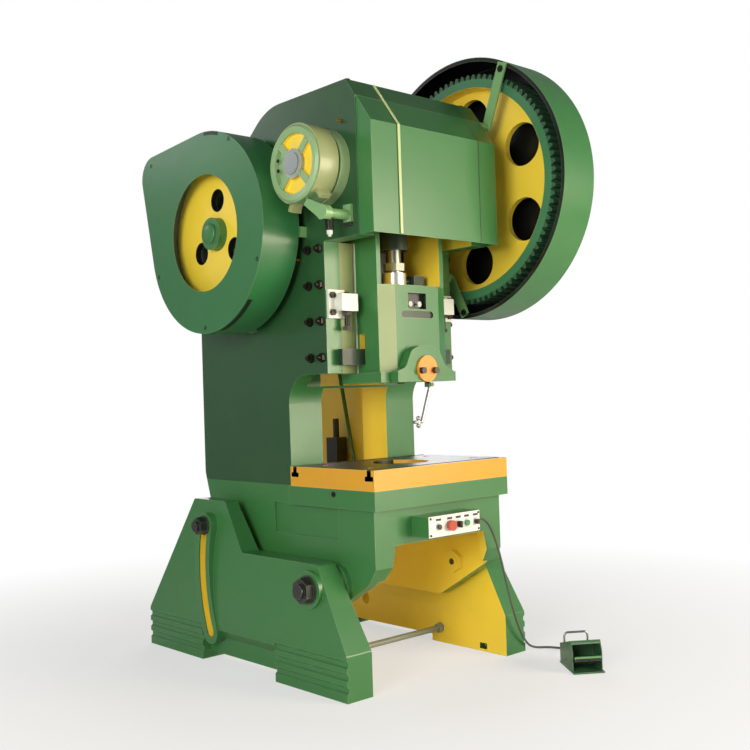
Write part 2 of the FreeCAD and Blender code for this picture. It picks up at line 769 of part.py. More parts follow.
def frame():
    silhouette = [
        ("-wall_front", "wall_foot"),
        ("-wall_front", "table_top"),
        ("-throat_front", "table_top"),
        ("-throat_front", "guide_bottom"),
        ("-guide_front", "guide_bottom"),
        ("-guide_front", "head_bottom"),
        ("-head_front", "head_bottom"),
        ("-head_front", HEAD_BREAK),
        ("-head_edge", "head_top"),
        ("-crown_front", "head_top"),
        ("shoulder_back", "shoulder_height"),
        ("frame_rear", "frame_rear_top"),
        ("frame_rear", "frame_rear_foot"),
        ("heel_back", "frame_bottom + heel_back * 0.577"),
        ("0", "frame_bottom"),
        ("-frame_bottom_front", "frame_bottom"),
        ("-chin_front", "chin_height"),
    ]
    casting = new_body("FrameCasting")
    pad(casting, "YZ", [silhouette], "-cheek_side", "cheek_side")
    round_corners(casting, "YZ", [silhouette[3]], "throat_fillet")
    round_corners(casting, "YZ", [silhouette[9]], "crown_radius")
    round_corners(casting, "YZ", silhouette[10:14], "throat_fillet * 0.8")
    round_corners(casting, "YZ", [silhouette[16]], "throat_fillet / 2")

    band = [
        ("-table_side", "-table_front"),
        ("table_side", "-table_front"),
        ("table_side", "-table_rear"),
        ("-table_side", "-table_rear"),
    ]
    pad(casting, "XY", [band], "table_top - table_band", "table_top")

    # chamber under the table, open below
    under = "(table_top - table_slab)"
    chamber = [
        ("front_wall - wall_front", "100"),
        ("front_wall - wall_front", under),
        ("frame_rear - cheek_wall", under),
        ("frame_rear - cheek_wall", "100"),
    ]
    pocket(casting, "YZ", [chamber], f"-{CHEEK_IN}", CHEEK_IN)
    mouth = [
        ("-cheek_side + 99", "panel_bottom - 15"),
        ("cheek_side - 99", "panel_bottom - 15"),
        ("cheek_side - 73", "chin_height + 14"),
        (CHEEK_IN, "chin_height - 9"),
        (CHEEK_IN, "100"),
        (f"-{CHEEK_IN}", "100"),
        (f"-{CHEEK_IN}", "chin_height - 9"),
        ("-cheek_side + 73", "chin_height + 14"),
    ]
    pocket(casting, "XZ", [mouth], "-wall_front - 5", "front_wall - wall_front + 5")
    hole = [("circle", "0", CRANK_Y, "table_hole")]
    pocket(casting, "XY", hole, f"{under} - 5", "table_top + 5")

    # open back between the cheeks, behind the two front columns
    column_back = "(column_depth - throat_front)"
    ceiling = "(head_top - head_plate * 3)"
    aisle = [
        ("-throat_front - 15", "table_top"),
        ("-throat_front - 15", ceiling),
        (column_back, ceiling),
        (column_back, "table_top"),
    ]
    pocket(casting, "YZ", [aisle], "-column_side", "column_side")
    back = [
        (column_back, "table_top"),
        (column_back, f"{ceiling} - head_plate"),
        ("shoulder_back - head_plate / 2", "shoulder_height - head_plate * 1.5"),
        ("frame_rear - head_plate * 1.2", "frame_rear_top - head_plate * 0.6"),
        ("frame_rear - head_plate * 1.2", "passage_top"),
        ("frame_rear + 60", "passage_top"),
        ("frame_rear + 60", "table_top"),
    ]
    pocket(casting, "YZ", [back], f"-{CHEEK_IN}", CHEEK_IN)

    # well for the slide, the gibs and the crank
    well = [
        ("-head_front - 10", "guide_bottom - 45"),
        ("-head_front - 10", f"{HEAD_BREAK} - 10 * {HEAD_SLOPE} - head_plate * 1.7"),
        ("head_plate / 2 - head_edge", "head_top - head_plate"),
        ("-throat_front", "head_top - head_plate"),
        ("-throat_front", "guide_bottom - 45"),
    ]
    pocket(casting, "YZ", [well], "-guide_side", "guide_side")

    # shallow panel on the outer face of both cheeks, under the table
    panel = [
        ("-panel_front", "panel_bottom"),
        ("-panel_front", "table_top - table_band"),
        ("-panel_back", "table_top - table_band"),
        ("-panel_back", "panel_bottom"),
    ]
    pocket(casting, "YZ", [panel], "-cheek_side", "panel_depth - cheek_side")
    pocket(casting, "YZ", [panel], "cheek_side - panel_depth", "cheek_side")

    bosses = []
    bores = []
    for side, sign in (("Left", "-"), ("Right", "")):
        spans = {
            "Crank": ("column_side", "guide_side + 5", CRANK_Y, "crank_height", "boss_radius"),
            "Shaft": (CHEEK_IN, "bearing_face", SHAFT_Y, SHAFT_Z, "bearing_boss"),
            "Pivot": (CHEEK_IN, "leg_side - leg_width - swing_gap", "-pivot_front", "pivot_height",
                      "pivot_boss"),
            "Lock": (CHEEK_IN, "leg_side - leg_width - swing_gap", LOCK_Y, LOCK_Z, "lock_boss"),
        }
        holes = {
            "Crank": ("column_side - 1", "cheek_side + 1", "bush_radius"),
            "Shaft": (f"{CHEEK_IN} - 1", "bearing_face + 1", "bearing_radius"),
            "Pivot": (f"{CHEEK_IN} - 1", "leg_side", "pivot_radius + running_gap"),
            "Lock": (f"{CHEEK_IN} - 1", "leg_side", "lock_radius"),
        }
        for name, (low, high, y, z, radius) in spans.items():
            ends = (f"-({high})", f"-({low})") if sign else (low, high)
            bosses.append(rod(f"{name}Boss{side}", "X", radius, *ends, y, z))
            low, high, radius = holes[name]
            ends = (f"-({high})", f"-({low})") if sign else (low, high)
            bores.append(rod(f"{name}Bore{side}", "X", radius, *ends, y, z))
        for row in range(4):
            for y in ("-gib_screw_front", "-gib_screw_back"):
                ends = ("guide_side - 1", "cheek_side + 1")
                if sign:
                    ends = (f"-({ends[1]})", f"-({ends[0]})")
                height = f"gib_screw_low + gib_screw_pitch * {row}"
                bores.append(rod(f"GibHole{side}", "X", "gib_screw_radius", *ends, y, height))
    for x, y in bolster_screw_places():
        bores.append(rod("TableHole", "Z", "screw_radius", "table_top - 60", "table_top + 1", x, y))
    solid = fuse("FrameSolid", casting, *bosses)
    node(cut("Frame", solid, *bores), "frame")


def bolster_screw_places():
    return [(f"{a}screw_across", f"{CRANK_Y} {b} screw_along") for a in ("-", "") for b in ("-", "+")]


def head_cover():
    outline = [
        ("-head_front", "head_bottom"),
        ("-cover_front", "head_bottom"),
        ("-cover_front", "cover_bend"),
        ("-head_front", HEAD_BREAK),
    ]
    inside = [
        ("5 - head_front", "head_bottom - 5"),
        ("sheet - cover_front", "head_bottom - 5"),
        ("sheet - cover_front", "cover_bend - sheet / 3"),
        ("5 - head_front",
         f"cover_bend - sheet / 3 + (cover_front - head_front + 5 - sheet) * {HEAD_SLOPE}"),
    ]
    cover = new_body("HeadCover")
    pad(cover, "YZ", [outline], "-cover_side", "cover_side")
    proud = [
        ("-cover_front + 1", "head_bottom"),
        ("-cover_front - panel_proud", "head_bottom"),
        ("-cover_front - panel_proud", "cover_bend + 0.6"),
        ("-head_front - panel_proud", f"{HEAD_BREAK} + 0.6"),
        ("-head_front", f"{HEAD_BREAK} - 3"),
        ("-cover_front + 1", "cover_bend - 3"),
    ]
    pad(cover, "YZ", [proud], "-panel_left", "panel_right")
    pocket(cover, "YZ", [inside], "sheet - cover_side", "cover_side - sheet")
    node(cover, "head_cover")


def bolster():
    plate = new_body("Bolster")
    outline = [
        ("-bolster_side", "-bolster_front"),
        ("bolster_side", "-bolster_front"),
        ("bolster_side", BOLSTER_BACK),
        ("-bolster_side", BOLSTER_BACK),
    ]
    pad(plate, "XY", [outline], "table_top", BOLSTER_TOP)
    tees = []
    for sign in ("-", "+"):
        middle = f"({CRANK_Y} {sign} tee_offset)"
        low = f"{BOLSTER_TOP} - tee_neck_depth - tee_foot_depth"
        step = f"{BOLSTER_TOP} - tee_neck_depth"
        tees.append([
            (f"{middle} - tee_neck / 2", f"{BOLSTER_TOP} + 1"),
            (f"{middle} - tee_neck / 2", step),
            (f"{middle} - tee_foot / 2", step),
            (f"{middle} - tee_foot / 2", low),
            (f"{middle} + tee_foot / 2", low),
            (f"{middle} + tee_foot / 2", step),
            (f"{middle} + tee_neck / 2", step),
            (f"{middle} + tee_neck / 2", f"{BOLSTER_TOP} + 1"),
        ])
    pocket(plate, "YZ", tees, "-bolster_side - 1", "bolster_side + 1")
    hole = [("circle", "0", CRANK_Y, "drop_hole")]
    pocket(plate, "XY", hole, "table_top - 1", f"{BOLSTER_TOP} + 1")
    rebate = [("circle", "0", CRANK_Y, "drop_rebate")]
    pocket(plate, "XY", rebate, f"{BOLSTER_TOP} - rebate_depth", f"{BOLSTER_TOP} + 1")
    shanks = [("circle", x, y, "screw_radius") for x, y in bolster_screw_places()]
    pocket(plate, "XY", shanks, "table_top - 1", f"{BOLSTER_TOP} + 1")
    heads = [("circle", x, y, "screw_head + 1") for x, y in bolster_screw_places()]
    pocket(plate, "XY", heads, f"{BOLSTER_TOP} - screw_head_height - 2", f"{BOLSTER_TOP} + 1")
    node(plate, "bolster")

    screws = []
    for x, y in bolster_screw_places():
        seat = f"({BOLSTER_TOP} - screw_head_height - 2)"
        head = rod("ScrewHead", "Z", "screw_head", seat, f"{seat} + screw_head_height", x, y)
        socket = hexagon("ScrewSocket", "Z", "screw_head", f"{seat} + screw_head_height / 2",
                         f"{seat} + screw_head_height + 1", x, y)
        shank = rod("ScrewShank", "Z", "screw_radius", "table_top - 58", seat, x, y)
        screws.append(cut("BolsterScrew", fuse("ScrewBlank", head, shank), socket))
    node(group("BolsterScrews", *screws), "bolster_screws")


# ---------------------------------------------------------------- crank and connecting rod


def crank():
    axis = (CRANK_Y, "crank_height")
    pin = (CRANK_Y, PIN_Z)
    web_in = "pin_half"
    web_out = "(pin_half + web_thick)"
    pieces = [
        rod("BrakeEnd", "X", "shaft_end_radius", "-brake_outer - 8", "-cheek_side", *axis),
        rod("LeftJournal", "X", "journal_radius", "-cheek_side - 2", f"-{web_in}", *axis),
        rod("RightJournal", "X", "journal_radius", web_in, "gear_hub_near", *axis),
        rod("GearSeat", "X", "journal_radius - 5", "gear_hub_near - 1", "gear_hub_far + 6", *axis),
        rod("CrankPin", "X", "pin_radius", f"-{web_in}", web_in, *pin),
    ]
    for side, ends in (("Left", (f"-{web_out}", f"-{web_in}")), ("Right", (web_in, web_out))):
        low = rod("WebLow" + side, "X", "web_radius - 28", *ends, *axis)
        high = rod("WebHigh" + side, "X", "web_radius - 28", *ends, *pin)
        middle = block("WebMiddle" + side, *ends, f"{CRANK_Y} - web_radius + 28",
                       f"{CRANK_Y} + web_radius - 28", "crank_height", PIN_Z)
        pieces += [low, high, middle]
    node(fuse("Crankshaft", *pieces), "crankshaft")

    bush = cut("BushLeft",
               rod("BushOuter", "X", "bush_radius", "-cheek_side", "-column_side", *axis),
               rod("BushInner", "X", "journal_radius", "-cheek_side - 1", "1 - column_side", *axis))
    node(group("CrankBushes", bush, mirrored("BushRight", bush)), "crank_bushes")


def connecting_rod():
    pin = (CRANK_Y, PIN_Z)
    eye = rod("RodEye", "X", "rod_eye", "-rod_half", "rod_half", *pin)
    neck = rod("RodNeck", "Z", "rod_neck", "rod_bottom", PIN_Z, "0", CRANK_Y)
    ears = block("RodEars", "-rod_half + 8", "rod_half - 8", f"{CRANK_Y} - rod_eye - 18",
                 f"{CRANK_Y} + rod_eye + 18", f"{PIN_Z} - rod_ear", f"{PIN_Z} + rod_ear")
    bore = rod("RodBore", "X", "pin_radius", "-rod_half - 1", "rod_half + 1", *pin)
    thread = rod("RodThread", "Z", "screw_bore + 0.3", "rod_bottom - 1", "screw_top + 12", "0", CRANK_Y)
    shanks = []
    bolts = []
    for x in ("-34", "34"):
        for side in ("-", "+"):
            at = (x, f"{CRANK_Y} {side} rod_bolt_at")
            shank = rod("CapBoltShank", "Z", "rod_bolt_radius", f"{PIN_Z} - rod_ear + 10",
                        f"{PIN_Z} + rod_ear", *at)
            head = hexagon("CapBoltHead", "Z", "rod_bolt_radius * 3", f"{PIN_Z} + rod_ear",
                           f"{PIN_Z} + rod_ear + 14", *at)
            shanks.append(shank)
            bolts.append(fuse("CapBolt", shank, head))
    node(group("RodBolts", *bolts), "rod_bolts")
    blank = cut("RodBlank", fuse("RodSolid", eye, neck, ears), bore, thread, *shanks)
    wide = ("-rod_half - 5", "rod_half + 5", f"{CRANK_Y} - rod_eye - 40", f"{CRANK_Y} + rod_eye + 40")
    above = block("AbovePin", *wide, PIN_Z, f"{PIN_Z} + rod_eye * 2")
    below = block("BelowPin", *wide, "rod_bottom - 40", PIN_Z)
    node(cut("ConnectingRod", blank, above), "connecting_rod")
    node(cut("RodCap", blank, below), "rod_cap")

    stem = rod("ScrewStem", "Z", "screw_bore", "ball_height", "screw_top", "0", CRANK_Y)
    ball = sphere("ScrewBall", "ball_radius", "0", CRANK_Y, "ball_height")
    collar = hexagon("ScrewCollar", "Z", "screw_bore * 2.5", "ball_height + 62", "ball_height + 92",
                     "0", CRANK_Y)
    node(fuse("BallScrew", stem, ball, collar), "ball_screw")


# ---------------------------------------------------------------- slide


def vee(tip, gap, side):
    """The ridge of the slide's guide, or its groove when the gap is added."""
    half = f"(({tip}) - gib_inner + 20 + {gap})"
    points = [
        ("gib_inner - 20", f"-vee_front - {half}"),
        (f"{tip} - 3", f"-vee_front - 3 - {gap}"),
        (f"{tip} - 3", f"-vee_front + 3 + {gap}"),
        ("gib_inner - 20", f"-vee_front + {half}"),
    ]
    if side == "Left":
        points = [(f"-({x})", y) for x, y in points]
    return points


def slide():
    ram = new_body("SlideRam")
    plan = [
        ("-slide_side", "-slide_back"),
        ("-slide_side", "-slide_front"),
        ("-nose_side", "-slide_nose"),
        ("nose_side", "-slide_nose"),
        ("slide_side", "-slide_front"),
        ("slide_side", "-slide_back"),
    ]
    pad(ram, "XY", [plan], "slide_bottom", "slide_shelf")
    flange = [
        ("-flange_side", "-flange_back"),
        ("-flange_side", "-slide_nose"),
        ("flange_side", "-slide_nose"),
        ("flange_side", "-flange_back"),
    ]
    pad(ram, "XY", [flange], "slide_bottom", "flange_top")
    walls = [
        ("-slide_side", "-slide_back"),
        ("-slide_side", "-slide_front"),
        ("slide_wall - slide_side", "-slide_front"),
        ("slide_wall - slide_side", "-slide_back - slide_wall"),
        ("slide_side - slide_wall", "-slide_back - slide_wall"),
        ("slide_side - slide_wall", "-slide_front"),
        ("slide_side", "-slide_front"),
        ("slide_side", "-slide_back"),
    ]
    pad(ram, "XY", [walls], "slide_shelf", "slide_top")
    for side in ("Left", "Right"):
        pad(ram, "XY", [vee("vee_tip", "0", side)], "flange_top", "vee_top")

    # slot for the knock-out bar, from side to side
    high = f"({BAR_BOTTOM} + bar_height + bar_lift + 2)"
    slot = [
        ("-bar_front - bar_thick / 2 - 1", BAR_BOTTOM),
        ("-bar_front + bar_thick / 2 + 1", BAR_BOTTOM),
        ("-bar_front + bar_thick / 2 + 1", high),
        ("-bar_front - bar_thick / 2 - 1", high),
    ]
    pocket(ram, "YZ", [slot], "-flange_side - 40", "flange_side + 40")
    # window over the screw's lock, and the long slot under it
    window = [
        ("-48", "slide_shelf - 91"),
        ("48", "slide_shelf - 91"),
        ("48", "slide_shelf - 30"),
        ("-48", "slide_shelf - 30"),
    ]
    pocket(ram, "XZ", [window], "-slide_nose - 1", "-slide_nose + 24")
    # notch for the clamp's stem
    notch = [
        ("-clamp_stem - swing_gap", "slide_bottom - 1"),
        ("-clamp_stem - swing_gap", "slide_bottom + shank_depth + 40"),
        ("clamp_stem + swing_gap", "slide_bottom + shank_depth + 40"),
        ("clamp_stem + swing_gap", "slide_bottom - 1"),
    ]
    pocket(ram, "XZ", [notch], "-slide_nose - 1", "-bar_front - bar_thick / 2 - 1")
    shank = [("circle", "0", CRANK_Y, "shank_radius")]
    pocket(ram, "XY", shank, "slide_bottom - 1", "slide_bottom + shank_depth")
    socket = [("circle", "0", CRANK_Y, "ball_radius + seat_wall")]
    pocket(ram, "XY", socket, "ball_height - ball_radius - seat_wall", "slide_shelf + 1")
    groove_low = rod("PillLeft", "Y", "13", "-slide_nose - 1", "-slide_nose + 8", "-72", "slide_shelf - 112")
    groove_high = rod("PillRight", "Y", "13", "-slide_nose - 1", "-slide_nose + 8", "72", "slide_shelf - 112")
    groove = block("PillMiddle", "-72", "72", "-slide_nose - 1", "-slide_nose + 8",
                   "slide_shelf - 125", "slide_shelf - 99")
    bolts = [hexagon("LockBolt", "Y", "20", "-slide_nose + 12", "-slide_nose + 24", x, "slide_shelf - 71")
             for x in ("-24", "24")]
    solid = fuse("SlideSolid", ram, *bolts)
    node(cut("Slide", solid, groove_low, groove_high, groove), "slide")

    cap = cut("BallCapRing",
              rod("CapOuter", "Z", "ball_radius + 10", "slide_shelf", "slide_shelf + 57", "0", CRANK_Y),
              rod("CapInner", "Z", "screw_bore + 2", "slide_shelf + 40", "slide_shelf + 58", "0", CRANK_Y),
              rod("CapBowl", "Z", "ball_radius + 0.1", "slide_shelf - 1", "slide_shelf + 41", "0", CRANK_Y))
    node(cap, "ball_cap")
    seat = cut("BallSeatRing",
               rod("SeatOuter", "Z", "ball_radius + seat_wall", "ball_height - ball_radius - seat_wall",
                   "slide_shelf", "0", CRANK_Y),
               sphere("SeatBowl", "ball_radius", "0", CRANK_Y, "ball_height"))
    node(seat, "ball_seat")
    lock = block("LockBlock", "72", "128", "-slide_front + 56", "-slide_front + 112",
                 "slide_shelf", "slide_shelf + 50")
    stop = rod("LockScrew", "X", "9", "ball_radius + 10.5", "73", "-slide_front + 84", "slide_shelf + 28")
    node(fuse("ScrewLock", lock, stop), "screw_lock")


def gibs():
    rail = new_body("LeftGib")
    outline = [
        ("-guide_side", "-guide_front + 2"),
        ("-gib_inner", "-guide_front + 2"),
        ("-gib_inner", "-guide_front + 2 + gib_depth"),
        ("-guide_side", "-guide_front + 2 + gib_depth"),
    ]
    pad(rail, "XY", [outline], "guide_bottom", "head_bottom")
    groove = vee("vee_tip + 0.1", "gib_gap * 1.4142", "Left")
    pocket(rail, "XY", [groove], "guide_bottom - 1", "head_bottom + 1")
    left = node(rail, "left_gib")
    node(mirrored("RightGib", left), "right_gib")

    screws = []
    for row in range(4):
        for y in ("-gib_screw_front", "-gib_screw_back"):
            at = (y, f"gib_screw_low + gib_screw_pitch * {row}")
            shank = rod("GibShank", "X", "gib_screw_radius", "-cheek_side - gib_head * 1.8",
                        "-guide_side", *at)
            head = hexagon("GibHead", "X", "gib_head * 2", "-cheek_side - gib_head", "-cheek_side", *at)
            screws.append(fuse("GibScrew", shank, head))
    left_screws = group("GibScrewsLeft", *screws)
    node(group("GibScrews", left_screws, mirrored("GibScrewsRight", left_screws)), "gib_screws")


def knock_out():
    plate = block("BracketPlate", "-bracket_side", "-bracket_inner - 30", "-guide_front - 12",
                  "-guide_front", "bracket_bottom", "bracket_top")
    arm = block("BracketBlock", "-bracket_inner - 78", "-bracket_inner", "-block_front",
                "-guide_front - 12", "block_bottom", "block_top")
    hole = rod("BracketHole", "Z", "stop_radius", "block_bottom - 1", "block_top + 1", "-stop_side",
               "-bar_front - 8")
    left = cut("BracketLeft", fuse("BracketSolid", plate, arm), hole)
    node(group("StopBrackets", left, mirrored("BracketRight", left)), "stop_brackets")

    at = ("-stop_side", "-bar_front - 8")
    stem = rod("StopStem", "Z", "stop_radius", "stop_tip", "block_top + 8", *at)
    head = hexagon("StopHead", "Z", "stop_radius * 3", "stop_tip", "stop_tip + 14", *at)
    lock = hexagon("StopLock", "Z", "stop_radius * 3", "block_bottom - 14", "block_bottom", *at)
    pieces = [fuse("StopScrew", stem, head, lock)]
    for z in ("bracket_bottom + 22", "bracket_top - 20"):
        pieces.append(hexagon("PlateBolt", "Y", "22", "-guide_front - 22", "-guide_front - 12",
                              "-bracket_side + 17", z))
    left = group("StopScrewsLeft", *pieces)
    node(group("StopScrews", left, mirrored("StopScrewsRight", left)), "stop_screws")

    bar = block("KnockoutBar", "-bar_half", "bar_half", "-bar_front - bar_thick / 2",
                "-bar_front + bar_thick / 2", BAR_BOTTOM, f"{BAR_BOTTOM} + bar_height")
    node(bar, "knockout_bar")


def die_clamp():
    bell = [
        ("-clamp_foot", "slide_bottom"),
        ("-clamp_foot", "clamp_foot_top - 14"),
        ("-clamp_foot * 0.72", "clamp_foot_top"),
        ("-clamp_foot * 0.5", "clamp_top - 16"),
        ("-clamp_foot * 0.2", "clamp_top"),
        ("clamp_foot * 0.2", "clamp_top"),
        ("clamp_foot * 0.5", "clamp_top - 16"),
        ("clamp_foot * 0.72", "clamp_foot_top"),
        ("clamp_foot", "clamp_foot_top - 14"),
        ("clamp_foot", "slide_bottom"),
    ]
    clamp = new_body("DieClamp")
    pad(clamp, "XZ", [bell], CLAMP_FACE, "-slide_nose")
    round_corners(clamp, "XZ", [bell[i] for i in (2, 3, 6, 7)], "30")
    stem = [
        ("-clamp_stem", "slide_bottom"),
        ("-clamp_stem", "slide_bottom + shank_depth + 39"),
        ("clamp_stem", "slide_bottom + shank_depth + 39"),
        ("clamp_stem", "slide_bottom"),
    ]
    pad(clamp, "XZ", [stem], "-slide_nose", "-bar_front - bar_thick / 2 - 2")
    bore = rod("ClampBore", "Z", "shank_radius", "slide_bottom - 1", "slide_bottom + shank_depth",
               "0", CRANK_Y)
    front = CLAMP_FACE
    top = "(slide_bottom - 12)"
    hanger = block("LeverHanger", "lever_side - 10", "lever_side + 10", f"{front} + 18.2", f"{front} + 30",
                   f"{top} - 10", "slide_bottom + 1")
    pin = rod("LeverPin", "Y", "5", f"{front}", f"{front} + 19", "lever_side", top)
    pin_head = rod("LeverPinHead", "Y", "8", f"{front} - 3", f"{front} + 1.8", "lever_side", top)
    node(cut("Clamp", fuse("ClampSolid", clamp, hanger, pin, pin_head), bore), "die_clamp")

    disc = rod("ClampDisc", "Y", "disc_radius", f"{front} - disc_thick", front, "0", DISC_Z)
    bolts = []
    for sign in ("-", ""):
        at = (f"{sign}clamp_bolt_side", f"{DISC_Z} - 7")
        bolts.append(hexagon("ClampBolt", "Y", "24", f"{front} - disc_thick - 16",
                             f"{front} - disc_thick", *at))
    node(group("ClampDiscBolted", disc, *bolts), "clamp_disc")

    eye = rod("LeverEye", "Y", "11", f"{front} + 2", f"{front} + 18", "lever_side", top)
    low_x = "(lever_side - lever_length * sin(lever_lean))"
    low_z = f"({top} - lever_length * cos(lever_lean))"
    middle = f"{front} + 10"
    arm = doc.addObject("Part::Cylinder", "LeverArm")
    bind(arm, Radius="lever_radius", Height="lever_length")
    place(arm, low_x, middle, low_z)
    arm.Placement.Rotation = FreeCAD.Rotation(FreeCAD.Vector(0, 1, 0), number("lever_lean"))
    bind(arm, Placement__Rotation__Angle="lever_lean")
    cross = rod("LeverCross", "X", "lever_radius", f"{low_x} - lever_pin", low_x, middle, low_z)
    knob_x = f"{low_x} - lever_pin * 0.43"
    knobs = [rod("LeverBar", "Z", "lever_radius", f"{low_z} - lever_knob", f"{low_z} + lever_knob",
                 knob_x, middle)]
    for shift in ("- lever_knob", "+ lever_knob"):
        knobs.append(sphere("LeverKnob", "lever_radius * 1.4", knob_x, middle, f"{low_z} {shift}"))
    bore = rod("LeverBore", "Y", "5 + running_gap", f"{front} - 1", f"{front} + 19", "lever_side", top)
    node(cut("ClampLever", fuse("LeverSolid", eye, arm, cross, *knobs), bore), "clamp_lever")


# ---------------------------------------------------------------- brake


def brake():
    axis = (CRANK_Y, "crank_height")
    drum = new_body("BrakeDrum")
    width = "(brake_outer - drum_inner)"
    turn(drum, [
        ("0", "shaft_end_radius"),
        ("0", "drum_hub + 12"),
        ("14", "drum_hub + 8"),
        ("22", "drum_hub + 8"),
        ("22", "drum_recess"),
        ("4", "drum_recess + 4"),
        ("0", "drum_radius - 8"),
        ("8", "drum_radius"),
        (width, "drum_radius"),
        (width, "shaft_end_radius"),
    ])
    place(drum, "-brake_outer", *axis, "X")
    ribs = []
    for quarter in range(2):
        rib = doc.addObject("Part::Box", "DrumRib")
        bind(rib, Length="20", Width="drum_recess * 2 + 2", Height="26")
        rib.Placement.Rotation = FreeCAD.Rotation(FreeCAD.Vector(1, 0, 0), 45 + 90 * quarter)
        across = rib.Placement.Rotation.multVec(FreeCAD.Vector(0, 1, 0))
        up = rib.Placement.Rotation.multVec(FreeCAD.Vector(0, 0, 1))
        shift_y = f"{-round(across.y, 6)} * (drum_recess + 1) + {-round(up.y, 6)} * 13"
        shift_z = f"{-round(across.z, 6)} * (drum_recess + 1) + {-round(up.z, 6)} * 13"
        bind(rib, Placement__Base__x="5 - brake_outer", Placement__Base__y=f"{CRANK_Y} + {shift_y}",
             Placement__Base__z=f"crank_height + {shift_z}")
        ribs.append(rib)
    shaft = rod("DrumBore", "X", "shaft_end_radius", "-brake_outer - 10", "-cheek_side", *axis)
    node(cut("Drum", fuse("DrumSolid", drum, *ribs), shaft), "brake_drum")

    ring = cut("BandRing",
               rod("BandOuter", "X", "band_radius", "-band_outer", "-band_inner", *axis),
               rod("BandInner", "X", "drum_radius", "-band_outer - 1", "1 - band_inner", *axis))
    opening = new_body("BandOpening")
    ends = [f"{CRANK_Y} + band_radius * 1.3 * cos({angle})" for angle in ("232", "260", "288")]
    falls = [f"crank_height + band_radius * 1.3 * sin({angle})" for angle in ("232", "260", "288")]
    pad(opening, "YZ", [[axis, *zip(ends, falls)]], "-band_outer - 2", "2 - band_inner")
    lugs = []
    for angle, side in (("232", "232 - 7"), ("288", "288 + 7")):
        places = []
        for radius, turn_to in (("drum_radius", angle), ("band_radius + 30", angle),
                                ("band_radius + 30", side), ("drum_radius", side)):
            places.append((f"{CRANK_Y} + ({radius}) * cos({turn_to})",
                           f"crank_height + ({radius}) * sin({turn_to})"))
        lug = new_body("BandLug")
        pad(lug, "YZ", [places], "-band_outer + 20", "-band_inner - 20")
        lugs.append(lug)
    drum_space = rod("BandSpace", "X", "drum_radius", "-band_outer", "-band_inner", *axis)
    open_ring = cut("OpenRing", ring, opening)
    node(cut("BrakeBand", fuse("BandSolid", open_ring, *lugs), drum_space), "brake_band")

    middle = (ANCHOR_Y, ANCHOR_Z)
    foot = block("AnchorFoot", "-cheek_side - 12", "-cheek_side", f"{ANCHOR_Y} - 18", f"{ANCHOR_Y} + 22",
                 f"{ANCHOR_Z} - 38", f"{ANCHOR_Z} + 38")
    arm = rod("AnchorArm", "X", "18", "-band_outer + 20", "-cheek_side - 12", *middle)
    eye = rod("AnchorEye", "X", "27", "-band_outer + 8", "-band_outer + 38", *middle)
    link = new_body("AnchorLink")
    pad(link, "YZ", [[
        (f"{ANCHOR_Y} - 12", f"{ANCHOR_Z} + 22"),
        (f"{ANCHOR_Y} + 80", f"{ANCHOR_Z} + 62"),
        (f"{ANCHOR_Y} + 98", f"{ANCHOR_Z} + 40"),
        (f"{ANCHOR_Y} + 14", f"{ANCHOR_Z} - 20"),
    ]], "-band_outer + 8", "-band_outer + 26")
    anchor = fuse("AnchorSolid", foot, arm, eye, link)
    screw_at = ("-band_outer + 46", f"{ANCHOR_Y} + 4")
    rod_end = rod("BandScrewRod", "Z", "6", f"{ANCHOR_Z} - 84", f"{ANCHOR_Z} - 15", *screw_at)
    sleeve = rod("BandScrewSleeve", "Z", "12", f"{ANCHOR_Z} - 60", f"{ANCHOR_Z} - 26", *screw_at)
    nut = hexagon("BandScrewNut", "Z", "20", f"{ANCHOR_Z} - 76", f"{ANCHOR_Z} - 62", *screw_at)
    screw = cut("BandScrew", fuse("BandScrewSolid", rod_end, sleeve, nut), arm)
    node(group("BrakeAnchor", anchor, screw), "brake_anchor")

    plate = cut("BackPlateRing",
                rod("PlateOuter", "X", "plate_radius", "-plate_outer", "-cheek_side", *axis),
                rod("PlateInner", "X", "journal_radius + 4", "-plate_outer - 1", "1 - cheek_side", *axis))
    node(plate, "brake_plate")


# ---------------------------------------------------------------- gears


def tooth_outline(teeth, addendum, steps, phase):
    """The closed outline of a spur gear with involute flanks, drawn with steps on each flank."""
    count = int(round(number(teeth)))
    module = number("gear_module")
    pressure = math.radians(number("pressure_angle"))
    pitch = module * count / 2
    base = pitch * math.cos(pressure)
    root = pitch - module * number("root_depth")
    tip = pitch + module * number(addendum)
    widest = (math.pi * module / 2 - number("tooth_play")) / 2 / pitch + math.tan(pressure) - pressure
    low = max(base, root)
    radii = [low + (tip - low) * step / steps for step in range(steps + 1)]
    if root < base:
        radii.insert(0, root)
    flank = []
    for radius in radii:
        slant = math.acos(min(1, base / radius))
        flank.append((radius, widest - math.tan(slant) + slant))
    points = []
    for tooth in range(count):
        middle = phase + 2 * math.pi * tooth / count
        for radius, half in flank:
            points.append((radius * math.cos(middle - half), radius * math.sin(middle - half)))
        for radius, half in reversed(flank):
            points.append((radius * math.cos(middle + half), radius * math.sin(middle + half)))
    places = [FreeCAD.Vector(0, y, z) for y, z in points]
    return Part.Face(Part.makePolygon(places + places[:1]))


def toothed_rim(name, outline, y, z):
    rim = doc.addObject("Part::Feature", name)
    rim.Shape = outline.extrude(vector("gear_width", "0", "0"))
    return place(rim, "gear_near", y, z)


